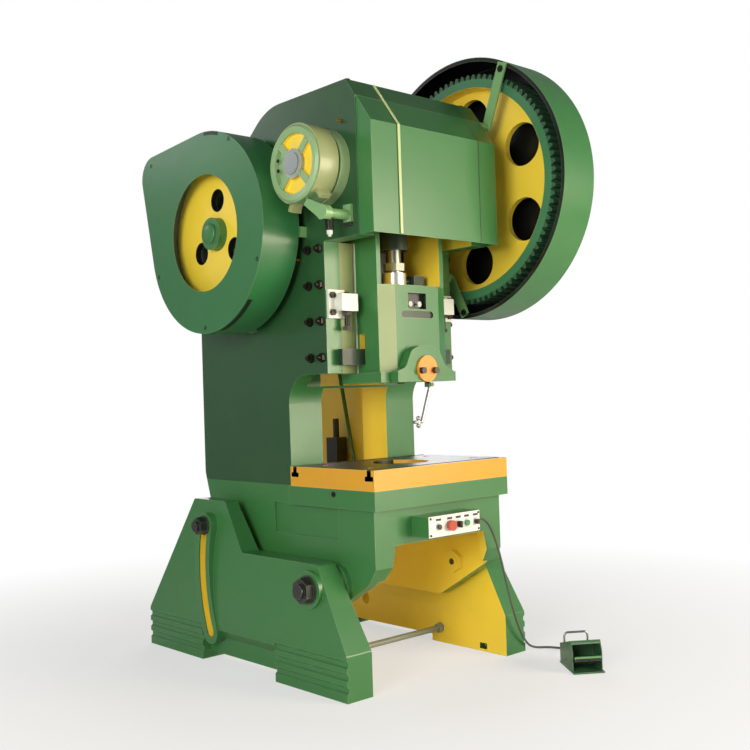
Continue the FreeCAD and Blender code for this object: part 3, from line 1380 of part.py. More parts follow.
def gears():
    crank = (CRANK_Y, "crank_height")
    shaft = (SHAFT_Y, SHAFT_Z)
    line = math.atan2(number(SHAFT_Z) - number("crank_height"), number("shaft_reach"))
    rim = toothed_rim("BullRim", tooth_outline("bull_teeth", "bull_addendum", 2, line), *crank)
    far = "(gear_near + gear_width)"
    web_far = "(gear_web_near + gear_web)"
    near_recess = cut("NearRecess",
                      rod("NearDish", "X", "rim_inner", "gear_near - 1", "gear_web_near", *crank),
                      rod("NearHub", "X", "gear_hub", "gear_near - 2", "gear_web_near + 1", *crank))
    far_recess = cut("FarRecess",
                     rod("FarDish", "X", "rim_inner", web_far, f"{far} + 1", *crank),
                     rod("FarHub", "X", "gear_hub", f"{web_far} - 1", f"{far} + 2", *crank))
    holes = []
    for row in range(6):
        angle = math.radians(30 + 60 * row)
        y = f"{CRANK_Y} + gear_holes * {round(math.cos(angle), 6)}"
        z = f"crank_height + gear_holes * {round(math.sin(angle), 6)}"
        holes.append(rod("GearHole", "X", "gear_hole_radius", "gear_near", far, y, z))
    hub = rod("GearHub", "X", "gear_hub", f"{far} - 1", "gear_hub_far", *crank)
    bore = rod("GearBore", "X", "journal_radius - 5 + running_gap", "gear_near - 5",
               "gear_hub_far + 1", *crank)
    step = rod("GearStep", "X", "journal_radius + 2", "gear_near - 5", "gear_hub_near + 1", *crank)
    blank = fuse("BullBlank", rim, hub)
    node(cut("BullGear", blank, near_recess, far_recess, bore, step, *holes), "bull_gear")

    half_tooth = math.pi + line + math.pi / number("pinion_teeth")
    outline = tooth_outline("pinion_teeth", "pinion_addendum", 4, half_tooth)
    teeth = toothed_rim("PinionTeeth", outline, *shaft)
    core = rod("ShaftCore", "X", "shaft_radius", "-wheel_hub_outer - 6", f"{far} + 4", *shaft)
    shoulder = rod("ShaftShoulder", "X", "shaft_radius + 12", "bearing_face + 16", "gear_near", *shaft)
    node(fuse("PinionShaft", core, shoulder, teeth), "pinion_shaft")

    housing = cut("BearingLeft",
                  fuse("BearingSolid",
                       rod("BearingSleeve", "X", "bearing_radius", "-bearing_face", f"-{CHEEK_IN}", *shaft),
                       rod("BearingFlange", "X", "bearing_cap", "-bearing_face - 8",
                           "-bearing_face", *shaft)),
                  rod("BearingBore", "X", "shaft_radius + running_gap", "-bearing_face - 10",
                      f"1 - {CHEEK_IN}", *shaft))
    node(group("ShaftBearings", housing, mirrored("BearingRight", housing)), "shaft_bearings")

    sleeve = cut("SleeveRing",
                 rod("SleeveOuter", "X", "gear_hub - 12", "cheek_side", "gear_near - 4", *crank),
                 rod("SleeveInner", "X", "journal_radius", "cheek_side - 1", "gear_near - 3", *crank))
    node(sleeve, "clutch_sleeve")


# Each strap runs from a post on the frame's cheek to the edge of the guard: (y, z) of both.
STRAP_HALF = 22
STRAPS = [
    ((-618, 2128), (-716, 2376)),
    ((-383, 1545), (-468, 1378)),
    ((60, 1560), (-20, 1600)),
]


def gear_guard():
    crank = (CRANK_Y, "crank_height")
    shaft = (SHAFT_Y, SHAFT_Z)
    outer = fuse("GuardOuter",
                 rod("GuardDrum", "X", GUARD_RADIUS, "guard_near", "guard_far", *crank),
                 rod("GuardLobe", "X", "pinion_guard", "guard_near", "guard_far", *shaft))
    inner = fuse("GuardInner",
                 rod("GuardSpace", "X", f"{GUARD_RADIUS} - sheet", "guard_near - 1",
                     "guard_far - sheet", *crank),
                 rod("LobeSpace", "X", "pinion_guard - sheet", "guard_near - 1", "guard_far - sheet", *shaft))
    shell = cut("GuardShell", outer, inner)
    edge = cut("GuardEdge",
               rod("EdgeOuter", "X", f"{GUARD_RADIUS} - 1", "guard_near", "guard_near + sheet", *crank),
               rod("EdgeInner", "X", f"{GUARD_RADIUS} - guard_edge", "guard_near - 1",
                   "guard_near + sheet + 1",
                   *crank),
               rod("EdgeLobe", "X", "pinion_guard - sheet", "guard_near - 2",
                   "guard_near + sheet + 2", *shaft))
    node(fuse("GearGuard", shell, edge), "gear_guard")

    straps = []
    for (y0, z0), (y1, z1) in STRAPS:
        across = math.atan2(z1 - z0, y1 - y0) + math.pi / 2
        dy, dz = STRAP_HALF * math.cos(across), STRAP_HALF * math.sin(across)
        outline = [(str(y0 - dy), str(z0 - dz)), (str(y1 - dy), str(z1 - dz)),
                   (str(y1 + dy), str(z1 + dz)), (str(y0 + dy), str(z0 + dz))]
        strap = new_body("GuardStrap")
        pad(strap, "YZ", [outline], "guard_near - 8", "guard_near")
        post = rod("StrapPost", "X", "20", "cheek_side", "guard_near - 7", str(y0), str(z0))
        straps.append(fuse("StrapSolid", strap, post))
    return straps


# ---------------------------------------------------------------- flywheel, belts and motor


def belt_drive():
    shaft = (SHAFT_Y, SHAFT_Z)
    wheel = new_body("Flywheel")
    grooves = []
    for row in range(int(number("belt_count"))):
        middle = f"(wheel_outer - belt_first + belt_pitch * {row})"
        grooves += [
            (f"{middle} - belt_width / 2 - 1", "wheel_radius"),
            (f"{middle} - belt_width / 2 + 2", "wheel_radius - belt_height - 3"),
            (f"{middle} + belt_width / 2 - 2", "wheel_radius - belt_height - 3"),
            (f"{middle} + belt_width / 2 + 1", "wheel_radius"),
        ]
    width = "(wheel_outer - wheel_inner)"
    web_near = "(wheel_outer - wheel_web_outer)"
    profile = [
        ("wheel_outer - wheel_hub_outer", "shaft_radius"),
        ("wheel_outer - wheel_hub_outer", "wheel_hub"),
        (web_near, "wheel_hub"),
        (web_near, "wheel_rim"),
        ("0", "wheel_rim"),
        ("0", "wheel_radius"),
        *grooves,
        (width, "wheel_radius"),
        (width, "wheel_rim"),
        (f"{web_near} + wheel_web", "wheel_rim"),
        (f"{web_near} + wheel_web", "wheel_hub"),
        (f"{width} - 16", "wheel_hub"),
        (f"{width} - 16", "shaft_radius"),
    ]
    turn(wheel, profile)
    place(wheel, "-wheel_outer", *shaft, "X")
    holes = []
    for angle in (92, 212, 332):
        y = f"{SHAFT_Y} + wheel_holes * {round(math.cos(math.radians(angle)), 6)}"
        z = f"{SHAFT_Z} + wheel_holes * {round(math.sin(math.radians(angle)), 6)}"
        holes.append(rod("WheelHole", "X", "wheel_hole_radius", "-wheel_outer", "-wheel_inner", y, z))
    node(cut("FlywheelDrilled", wheel, *holes), "flywheel")

    pulley = new_body("MotorPulley")
    grooves = [(a, r.replace("wheel_radius", "pulley_radius")) for a, r in grooves]
    turn(pulley, [
        ("0", "0"),
        ("0", "pulley_radius"),
        *grooves,
        (width, "pulley_radius"),
        (width, "motor_shaft"),
        ("wheel_outer - motor_left + 30", "motor_shaft"),
        ("wheel_outer - motor_left + 30", "0"),
    ])
    place(pulley, "-wheel_outer", "motor_back", "motor_height", "X")
    node(pulley, "motor_pulley")

    big = (SHAFT_Y, SHAFT_Z, "wheel_radius - belt_height - 2.7")
    small = ("motor_back", "motor_height", "pulley_radius - belt_height - 2.7")
    big_out = (SHAFT_Y, SHAFT_Z, "wheel_radius + 1")
    small_out = ("motor_back", "motor_height", "pulley_radius + 1")
    loops = []
    for row in range(int(number("belt_count"))):
        belt = new_body("Belt")
        middle = f"(-belt_first + belt_pitch * {row})"
        ends = (f"{middle} - belt_width / 2 + 3", f"{middle} + belt_width / 2 - 3")
        pad(belt, "YZ", [("belt", big_out, small_out), ("belt", big, small)], *ends)
        loops.append(belt)
    node(group("VeeBelts", *loops), "v_belts")


def belt_guard():
    guard = new_body("BeltGuard")
    big = (SHAFT_Y, SHAFT_Z, "belt_guard_radius")
    small = ("motor_back", "motor_height", "belt_guard_nose")
    big_in = (SHAFT_Y, SHAFT_Z, "belt_guard_radius - sheet")
    small_in = ("motor_back", "motor_height", "belt_guard_nose - sheet")
    pad(guard, "YZ", [("belt", big, small)], "-guard_outer", "-guard_inner")
    pocket(guard, "YZ", [("belt", big_in, small_in)], "sheet - guard_outer", "1 - guard_inner")
    pocket(guard, "YZ", [("circle", SHAFT_Y, SHAFT_Z, "guard_opening")],
           "-guard_outer - 1", "sheet - guard_outer + 1")
    node(guard, "belt_guard")
    brackets = []
    for angle in (110, 185, 265):
        turned = doc.addObject("Part::Box", "GuardBracket")
        bind(turned, Length="guard_inner + 25 - cheek_side", Width="40", Height="8")
        spin = FreeCAD.Rotation(FreeCAD.Vector(1, 0, 0), angle - 90)
        turned.Placement.Rotation = spin
        reach = "(belt_guard_radius - sheet - 9)"
        out_y = round(math.cos(math.radians(angle)), 6)
        out_z = round(math.sin(math.radians(angle)), 6)
        bind(turned, Placement__Base__x="-guard_inner - 25",
             Placement__Base__y=f"{SHAFT_Y} + {reach} * {out_y} - 20 * {out_z}",
             Placement__Base__z=f"{SHAFT_Z} + {reach} * {out_z} + 20 * {out_y}")
        brackets.append(turned)
    return brackets


def on_slope(along, out):
    """A (y, z) place beside the motor: along the frame's rear slope and out from it."""
    down_y = f"(frame_rear - shoulder_back) / {REAR_SLOPE}"
    down_z = f"(frame_rear_top - shoulder_height) / {REAR_SLOPE}"
    return (f"motor_back + ({along}) * {down_y} - ({out}) * {down_z}",
            f"motor_height + ({along}) * {down_z} + ({out}) * {down_y}")


def slope_block(name, low, high, along, out):
    """A block that lies on the rear slope, between two values of x."""
    part = new_body(name)
    corners = [on_slope(along[i], out[j]) for i, j in ((0, 0), (1, 0), (1, 1), (0, 1))]
    pad(part, "YZ", [corners], low, high)
    return part


def motor():
    ends = ("-motor_left", "motor_length - motor_left")
    axis = ("motor_back", "motor_height")
    fins = new_body("MotorFins")
    points = []
    count = int(number("fin_count"))
    for fin in range(count):
        for share, radius in ((0.0, "motor_radius"), (0.35, "motor_radius"),
                              (0.4, "motor_radius - fin_depth"), (0.95, "motor_radius - fin_depth")):
            angle = 2 * math.pi * (fin + share) / count
            points.append((f"motor_back + ({radius}) * {round(math.cos(angle), 6)}",
                           f"motor_height + ({radius}) * {round(math.sin(angle), 6)}"))
    pad(fins, "YZ", [points], "-motor_left + 45", "motor_length - motor_left - 95")
    front = rod("MotorFront", "X", "motor_radius + 6", "-motor_left", "-motor_left + 45", *axis)
    fan = rod("MotorFan", "X", "motor_radius + 2", "motor_length - motor_left - 95", ends[1], *axis)
    bore = rod("MotorBore", "X", "motor_shaft + running_gap", "-motor_left - 1", "-motor_left + 31", *axis)
    box = slope_block("MotorBox", "-motor_left + 110", "-motor_left + 220", ("-50", "50"),
                      ("motor_radius - fin_depth - 2", "motor_radius + 50"))
    feet = []
    for low in ("-motor_left + 60", "motor_length - motor_left - 150"):
        sole = slope_block("MotorSole", low, f"{low} + 50", ("-108", "108"),
                           ("-motor_foot", "-motor_foot + 16"))
        stand = slope_block("MotorStand", f"{low} + 8", f"{low} + 42", ("-80", "80"),
                            ("-motor_foot + 10", "-motor_radius * 0.6"))
        feet += [sole, stand]
    solid = fuse("MotorSolid", fins, front, fan, box, *feet)
    node(cut("Motor", solid, bore), "motor")

    reach = ("-motor_left + 20", "motor_length - motor_left - 60")
    slope_out = f"-{MOTOR_RISE}"
    plate = slope_block("BasePlate", *reach, ("-125", "125"), ("-motor_foot - 18", "-motor_foot"))
    walls = []
    for low in (reach[0], f"{reach[1]} - 18"):
        walls.append(slope_block("BaseWall", low, f"{low} + 18", ("-110", "110"),
                                 (slope_out, "-motor_foot - 17")))
    bridge = slope_block("BaseBridge", *reach, ("-9", "9"), (slope_out, "-motor_foot - 17"))
    node(fuse("MotorBase", plate, bridge, *walls), "motor_base")


# ---------------------------------------------------------------- controls


def controls():
    x0, x1 = "-box_left", "box_right"
    bottom = f"({BOX_TOP} - box_height)"
    case = block("ControlBox", x0, x1, "-box_front", "-wall_front", bottom, BOX_TOP)
    space = block("ControlSpace", f"{x0} + sheet", f"{x1} - sheet", "-box_front - 1", "-wall_front - sheet",
                  f"{bottom} + sheet", f"{BOX_TOP} - sheet")
    node(cut("Box", case, space), "control_box")
    holes = []
    face = "-box_front"
    for x, radius in CONTROLS.values():
        holes.append(rod("ButtonHole", "Y", f"{radius} + running_gap", f"{face} - 5", f"{face} + 30", x,
                         BUTTON_LINE))
    panel = block("Panel", x0, x1, f"{face} - panel_thick", face, bottom, BOX_TOP)
    node(cut("ControlPanel", panel, *holes), "control_panel")
    for name, (x, radius) in CONTROLS.items():
        stem = rod(name + "Stem", "Y", radius, f"{face} - panel_thick - 8", f"{face} + 20", x,
                   BUTTON_LINE)
        shapes = [stem]
        if name == "stop_button":
            shapes.append(rod("StopMushroom", "Y", "19", f"{face} - panel_thick - 20",
                              f"{face} - panel_thick - 6", x, BUTTON_LINE))
        if name in ("mode_switch", "key_switch"):
            shapes.append(block(name + "Grip", f"{x} - 4", f"{x} + 4", f"{face} - panel_thick - 20",
                                f"{face} - panel_thick - 6", f"{BUTTON_LINE} - {radius}",
                                f"{BUTTON_LINE} + {radius}"))
        button = fuse(name, *shapes) if len(shapes) > 1 else stem
        node(button, name)


CONTROLS = {
    "jog_button": ("-101", "10"),
    "stop_button": ("-stop_side_at", "11"),
    "mode_switch": ("3", "12"),
    "start_button": ("48", "11"),
    "key_switch": ("96", "9"),
}


def clutch_gear():
    """The solenoid on the table's back part and the rod that it pulls."""
    case = block("SolenoidCase", "clutch_side - 30", "clutch_side + 30", "clutch_back - 36",
                 "clutch_back + 36", "table_top", "table_top + 150")
    tube = rod("PlungerTube", "Z", "14", "table_top + 149", "table_top + 235", "clutch_side", "clutch_back")
    node(fuse("ClutchSolenoid", case, tube), "clutch_solenoid")
    bar = doc.addObject("Part::Cylinder", "ClutchBar")
    bind(bar, Radius="9", Height="clutch_rod_length")
    lean = FreeCAD.Rotation(FreeCAD.Vector(1, 0, 0), -12)
    bar.Placement = FreeCAD.Placement(vector("clutch_side", "clutch_back - 125", "table_top + 20"), lean)
    bind(bar, Placement__Base__x="clutch_side", Placement__Base__y="clutch_back - 125",
         Placement__Base__z="table_top + 20")
    fork = block("ClutchFork", "clutch_side - 16", "clutch_side + 16", "clutch_back - 145",
                 "clutch_back - 105", "table_top", "table_top + 44")
    node(fuse("ClutchRod", bar, fork), "clutch_rod")


# ---------------------------------------------------------------- foot switch and cord


def pedal_frame():
    """The foot switch's own frame: its Y axis runs from its mouth to its cord."""
    turned = FreeCAD.Rotation(FreeCAD.Vector(0, 0, 1), number("pedal_turn"))
    return FreeCAD.Placement(vector("pedal_x", "-pedal_front", "0"), turned)


def set_in_pedal(obj):
    obj.Placement = pedal_frame()
    bind(obj, Placement__Base__x="pedal_x", Placement__Base__y="-pedal_front",
         Placement__Rotation__Angle="pedal_turn")
    return obj


def foot_switch():
    half = "(pedal_width / 2)"
    back = "(pedal_depth / 2)"
    base = block("PedalPlate", f"-{half} - 2", f"{half} + 2", f"-{back} - 14", f"{back} + 2",
                 "0", "pedal_base")
    node(set_in_pedal(fuse("PedalBase", base, rod("PedalStud", "Z", "6", "1", "pedal_base + 8",
                                                  f"{half} - 14", f"{back} - 14"))), "pedal_base")
    profile = [
        (back, "pedal_base"),
        (back, "pedal_rear_height"),
        (f"{back} * 0.3 - pedal_depth * 0.5", "pedal_hood"),
        (f"-{back} + 6", "pedal_hood * 0.66"),
        (f"-{back} + 6", "pedal_base"),
    ]
    wall = "pedal_sheet"
    roof = "(pedal_hood - pedal_rear_height) / (pedal_depth * 0.85)"
    mouth = [
        (f"{back} - 58", "pedal_base - 1"),
        (f"{back} - 58", f"pedal_rear_height + 58 * {roof} - {wall} * 1.2"),
        (f"{back} * 0.3 - pedal_depth * 0.5", f"pedal_hood - {wall} * 1.4"),
        (f"-{back} - 4", f"pedal_hood * 0.66 - {wall} * 2"),
        (f"-{back} - 4", "pedal_base - 1"),
    ]
    cell = [
        (f"{back} - {wall}", "pedal_base - 1"),
        (f"{back} - {wall}", f"pedal_rear_height - {wall}"),
        (f"{back} - 54", f"pedal_rear_height + 52 * {roof} - {wall} * 1.2"),
        (f"{back} - 54", "pedal_base - 1"),
    ]
    shell = new_body("PedalShell")
    pad(shell, "YZ", [profile], f"-{half}", half)
    pocket(shell, "YZ", [mouth, cell], f"{wall} - {half}", f"{half} - {wall}")
    pin = ("pedal_pin_back", "pedal_pin_height")
    axle = rod("PedalPin", "X", "4", f"-{half} - 2", f"{half} + 2", *pin)
    node(set_in_pedal(fuse("PedalHousing", shell, axle)), "pedal_housing")

    plate = [
        ("pedal_pin_back + 8", "pedal_pin_height - 8"),
        ("pedal_pin_back + 8", "pedal_pin_height + 8"),
        (f"-{back} + 4", "pedal_pin_height + 22"),
        (f"-{back} - 2", "pedal_pin_height + 34"),
        (f"-{back} - 7", "pedal_pin_height + 33"),
        (f"-{back} - 1", "pedal_pin_height + 15"),
    ]
    treadle = new_body("PedalTread")
    pad(treadle, "YZ", [plate], f"{wall} + 4 - {half}", f"{half} - {wall} - 4")
    ribs = []
    for row in range(6):
        at = f"(-{back} + 12 + 10 * {row})"
        top = f"pedal_pin_height + 22 - (12 + 10 * {row}) * 13 / (pedal_depth / 2 + pedal_pin_back)"
        ribs.append(block("TreadRib", f"{wall} + 10 - {half}", f"{half} - {wall} - 10", at, f"{at} + 4",
                          f"{top} - 3", f"{top} + 2.5"))
    bore = rod("TreadBore", "X", "4 + running_gap", f"-{half}", half, *pin)
    node(set_in_pedal(cut("PedalTreadle", fuse("TreadSolid", treadle, *ribs), bore)), "pedal_treadle")

    at = f"{back} - 24"
    bend_x = "(handle_half - handle_bend)"
    bend_z = "(pedal_handle - handle_bend)"
    leg = rod("HandleLeg", "Z", "handle_wire", "pedal_rear_height - 2", bend_z, "handle_half", at)
    bend = doc.addObject("Part::Torus", "HandleBend")
    bend.Angle3 = 90
    bind(bend, Radius1="handle_bend", Radius2="handle_wire")
    place(bend, bend_x, at, bend_z)
    bend.Placement.Rotation = FreeCAD.Rotation(FreeCAD.Vector(1, 0, 0), 90)
    right = fuse("HandleSide", leg, bend)
    bar = rod("HandleBar", "X", "handle_wire", f"-{bend_x}", bend_x, at, "pedal_handle")
    wire = fuse("HandleWire", right, mirrored("HandleSideLeft", right), bar)
    outside = new_body("PedalOutside")
    pad(outside, "YZ", [profile], f"-{half}", half)
    node(set_in_pedal(cut("PedalHandle", wire, outside)), "pedal_handle")
    nut = rod("PedalNut", "Y", "11", back, f"{back} + 12", "0", "pedal_gland")
    cone = rod("PedalCone", "Y", "8", f"{back} + 11", f"{back} + 20", "0", "pedal_gland")
    node(set_in_pedal(fuse("PedalGland", nut, cone)), "pedal_gland")


def cord_route():
    """The cord's middle line, from the control box down to the floor and to the foot switch."""
    out = pedal_frame().multVec(FreeCAD.Vector(0, number("pedal_depth / 2 + 20"), number("pedal_gland")))
    along = pedal_frame().Rotation.multVec(FreeCAD.Vector(0, 1, 0))
    start = vector("box_right + 21", "-box_front + 43", f"{BUTTON_LINE} + 2")
    return [
        start,
        start + FreeCAD.Vector(59, 0, 0),
        FreeCAD.Vector(255, -710, 500),
        FreeCAD.Vector(295, -706, 400),
        FreeCAD.Vector(327, -702, 300),
        FreeCAD.Vector(361, -698, 203),
        FreeCAD.Vector(402, -693, 113),
        FreeCAD.Vector(455, -684, 40),
        FreeCAD.Vector(520, -668, 5),
        FreeCAD.Vector(570, -712, 5.2),
        FreeCAD.Vector(585, -775, 6),
        out + along * 72,
        out,
    ]


def cord():
    points = cord_route()
    edges = []
    last = points[0]
    for before, at, after in zip(points, points[1:], points[2:]):
        into = at - before
        away = after - at
        half_turn = into.getAngle(away) / 2
        cut_back = 0.45 * min(into.Length, away.Length)
        radius = cut_back / math.tan(half_turn)
        into.normalize()
        away.normalize()
        start = at - into * cut_back
        end = at + away * cut_back
        bulge = (away - into).normalize() * (radius / math.cos(half_turn) - radius)
        edges.append(Part.LineSegment(last, start).toShape())
        edges.append(Part.Arc(start, at + bulge, end).toShape())
        last = end
    edges.append(Part.LineSegment(last, points[-1]).toShape())
    spine = Part.Wire(edges)
    ring = Part.Circle(points[0], points[1] - points[0], number("cord_radius"))
    tube = spine.makePipeShell([Part.Wire(ring.toShape())], True, False)
    lead = doc.addObject("Part::Feature", "Cord")
    lead.Shape = tube
    node(lead, "pedal_cord")
    grip = rod("GlandNut", "X", "11", "box_right", "box_right + 12", "-box_front + 43", f"{BUTTON_LINE} + 2")
    cone = rod("GlandCone", "X", "8", "box_right + 11", "box_right + 21", "-box_front + 43",
               f"{BUTTON_LINE} + 2")
    node(fuse("CordGland", grip, cone), "cord_gland")


def export():
    failed = [obj.Label for obj in doc.Objects if {"Invalid", "Error"} & set(obj.State)]
    failed += [obj.Label for obj in NODES if obj.Shape.isNull() or not obj.Shape.isValid()]
    if failed:
        raise RuntimeError(f"not built: {failed}")
    os.makedirs("parts", exist_ok=True)
    for obj in NODES:
        obj.Shape.exportStep(f"parts/{obj.Label}.step")


legs()
tie_rod()
leg_bolts()
frame()
head_cover()
bolster()
crank()
connecting_rod()
slide()
gibs()
knock_out()
die_clamp()
brake()
gears()
belt_drive()
node(group("GuardSupports", *gear_guard(), *belt_guard()), "guard_supports")
motor()
controls()
clutch_gear()
foot_switch()
cord()
doc.recompute()
export()
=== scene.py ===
# %% [markdown]
# # A stamping press in enamel paint and steel
# This file dresses the solids of a mechanical stamping press. The solids are already the right
# shape, so most of the work is in the finishes: sprayed enamel on cast iron, ground and blackened
# steel, white powder coat, rubber and moulded plastic. Small fittings that the solids leave out
# are added at the end. Geometry Nodes grow the screws, the brake spring and the fan's grille, and
# a few lines of mesh code each make the trim, the grease nipples and the rings of the buttons.

import math

import bmesh
import bpy
from mathutils import Matrix, Vector


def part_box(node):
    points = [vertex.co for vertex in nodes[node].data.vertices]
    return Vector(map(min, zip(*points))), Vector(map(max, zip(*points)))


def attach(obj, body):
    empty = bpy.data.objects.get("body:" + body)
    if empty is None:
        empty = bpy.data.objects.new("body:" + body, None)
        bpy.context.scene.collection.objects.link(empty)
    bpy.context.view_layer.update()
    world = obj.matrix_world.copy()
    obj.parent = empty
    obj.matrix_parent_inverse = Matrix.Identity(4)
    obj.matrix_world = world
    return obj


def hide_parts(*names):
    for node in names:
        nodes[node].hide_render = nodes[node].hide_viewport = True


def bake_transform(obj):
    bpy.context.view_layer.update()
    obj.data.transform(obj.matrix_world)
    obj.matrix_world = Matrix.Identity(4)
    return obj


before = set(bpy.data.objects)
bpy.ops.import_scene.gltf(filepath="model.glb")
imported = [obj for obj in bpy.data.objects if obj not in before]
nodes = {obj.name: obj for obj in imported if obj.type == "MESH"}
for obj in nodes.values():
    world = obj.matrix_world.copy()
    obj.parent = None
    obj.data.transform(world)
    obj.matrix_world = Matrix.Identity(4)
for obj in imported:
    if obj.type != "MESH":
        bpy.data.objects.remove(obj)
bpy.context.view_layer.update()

# %% [markdown]
# ## Camera
# The press is seen from its left front, a little over a metre from the floor, so the camera
# stands low and far away. The lens and the place were fitted to the machine's straight edges.

# %% Camera
LENS_MM, SENSOR_MM = 49.01, 36
STAND = (-2.7524, -3.3621, 1.0707)
HEADING, TILT, ROLL = (math.radians(angle) for angle in (-42.24, 90.95, -1.86))


def put(name, data):
    """A new object in the scene that shows the data."""
    obj = bpy.data.objects.new(name, data)
    bpy.context.collection.objects.link(obj)
    return obj


camera = put("Camera", bpy.data.cameras.new("Camera"))
camera.data.lens = LENS_MM
camera.data.sensor_width = SENSOR_MM
gaze = Matrix.Rotation(HEADING, 4, "Z") @ Matrix.Rotation(TILT, 4, "X")
camera.matrix_world = Matrix.Translation(STAND) @ gaze @ Matrix.Rotation(ROLL, 4, "Z")
bpy.context.scene.camera = camera
bpy.context.scene.view_settings.view_transform = "Standard"
print("camera at", [round(v, 3) for v in camera.matrix_world.translation])

# %% [markdown]
# ## Colours and nodes
# Colours are written as the eye reads them, in sRGB, and one function turns them into the linear
# values that a shader adds up. One more function adds a node: its settings, and what goes into
# each of its inputs.


# %% Colour and node helpers
def linear(hex_text):
    """A hex colour in linear light, by the sRGB standard's own curve."""
    parts = [int(hex_text[i:i + 2], 16) / 255 for i in (1, 3, 5)]
    return [p / 12.92 if p <= 0.04045 else ((p + 0.055) / 1.055) ** 2.4 for p in parts] + [1]


def add(tree, kind, settings=None, **inputs):
    """One node. An input is named with _ for a space, or by its number, as in _0."""
    node = tree.nodes.new(kind)
    for key, value in (settings or {}).items():
        setattr(node, key, value)
    for key, value in inputs.items():
        name = key.strip("_")
        socket = node.inputs[int(name)] if name.isdigit() else node.inputs[name.replace("_", " ")]
        if isinstance(value, bpy.types.NodeSocket):
            tree.links.new(value, socket)
        else:
            socket.default_value = value
    return node


def math_of(tree, operation, *values):
    """What a Math node gives for its values."""
    inputs = {f"_{row}": value for row, value in enumerate(values)}
    return add(tree, "ShaderNodeMath", {"operation": operation}, **inputs).outputs[0]


def mix(tree, share, low, high):
    """A colour between two, where each may be a hex value or another node's output."""
    ends = [linear(end) if isinstance(end, str) else end for end in (low, high)]
    blend = add(tree, "ShaderNodeMix", {"data_type": "RGBA"}, _0=share, _6=ends[0], _7=ends[1])
    return blend.outputs[2]


def noise(tree, place, size_mm, detail=2):
    """Noise whose patches are about size_mm across, from 0 to 1."""
    return add(tree, "ShaderNodeTexNoise", Vector=place, Scale=1000 / size_mm, Detail=detail).outputs[0]


print("half of full sRGB is", round(linear("#808080")[0], 3), "of the light")

# %% [markdown]
# ## Where a colour stops
# The castings are green outside and yellow inside, and the border between the two is a plain
# plane or circle. So a finish asks where it is on the machine: Object coordinates give the place,
# and the normal gives the way the face looks. A zone is a product of such tests.


# %% Zones
# how squarely a face looks along an axis: flat on, more than halfway, or only leaning that way
FLAT, MOSTLY, LEANING = 0.9, 0.5, 0.3


class Spot:
    """The place and the facing of the point being shaded, in metres from the machine's origin."""

    def __init__(self, tree):
        self.tree = tree
        source = add(tree, "ShaderNodeTexCoord")
        self.place = source.outputs["Object"]
        split = add(tree, "ShaderNodeSeparateXYZ", Vector=self.place)
        self.x, self.y, self.z = split.outputs
        facing = add(tree, "ShaderNodeSeparateXYZ", Vector=source.outputs["Normal"])
        self.nx, self.ny, self.nz = facing.outputs

    def size(self, value):
        return math_of(self.tree, "ABSOLUTE", value)

    def inward(self):
        """How far a face looks towards the machine's middle plane."""
        return math_of(self.tree, "MULTIPLY", self.nx, math_of(self.tree, "SIGN", self.x))

    def reach(self, y, z):
        """The distance from an axis that runs from side to side."""
        gaps = [math_of(self.tree, "SUBTRACT", self.y, y), math_of(self.tree, "SUBTRACT", self.z, z)]
        squares = [math_of(self.tree, "POWER", gap, 2) for gap in gaps]
        return math_of(self.tree, "SQRT", math_of(self.tree, "ADD", *squares))

    def where(self, *tests):
        """1 where every test holds. A test is a value, "<" or ">", and a limit."""
        result = None
        for value, sign, limit in tests:
            operation = "LESS_THAN" if sign == "<" else "GREATER_THAN"
            test = math_of(self.tree, operation, value, limit)
            result = test if result is None else math_of(self.tree, "MULTIPLY", result, test)
        return result

    def but(self, zone, *others):
        """The zone without the others."""
        for other in others:
            zone = math_of(self.tree, "MULTIPLY", zone, math_of(self.tree, "SUBTRACT", 1, other))
        return zone


def between(value, low, high):
    """The two tests of a range."""
    return (value, ">", low), (value, "<", high)


# %% [markdown]
# ## Sprayed enamel
# The castings are filled, sanded and sprayed with alkyd enamel. It is glossy but not flat: the
# spray leaves an orange peel a few millimetres across, and the casting waves under it. Paint
# is thinnest on the edges, which are rubbed, and which are also made a little lighter as a painted
# highlight. The coat on top gives the long soft highlights, and the layer below keeps the colour.

# %% Enamel
# the second green is painted shade, for the frame's sides and top
GREEN, SHADED_GREEN, YELLOW = "#3B7B42", "#26522D", "#FFE046"
# cloudy patches a hand wide, rubbed edges with a painted highlight that come and go, uneven gloss,
# waves of the casting, and orange peel, drawn at 14 mm because its real 4 mm wouldn't show
CLOUD_MM, RUB_AND_HIGHLIGHT_MM, GLOSS_MM, WAVE_MM, PEEL_MM = 240, 60, 45, 160, 14


def new_material(name):
    material = bpy.data.materials.new(name)
    material.use_nodes = True
    tree = material.node_tree
    tree.nodes.clear()
    return material, tree


def finish_shader(tree, **inputs):
    shader = add(tree, "ShaderNodeBsdfPrincipled", **inputs)
    add(tree, "ShaderNodeOutputMaterial", Surface=shader.outputs[0])
    return shader


def edge_mask(tree, radius, low, high):
    """1 along an edge and 0 on a flat face, over a radius in metres."""
    soft = add(tree, "ShaderNodeBevel", {"samples": 4}, Radius=radius).outputs[0]
    true = add(tree, "ShaderNodeNewGeometry").outputs["Normal"]
    same = add(tree, "ShaderNodeVectorMath", {"operation": "DOT_PRODUCT"}, _0=soft, _1=true)
    return add(tree, "ShaderNodeMapRange", Value=same.outputs["Value"], From_Min=low, From_Max=high,
               To_Min=1.0, To_Max=0.0).outputs[0]


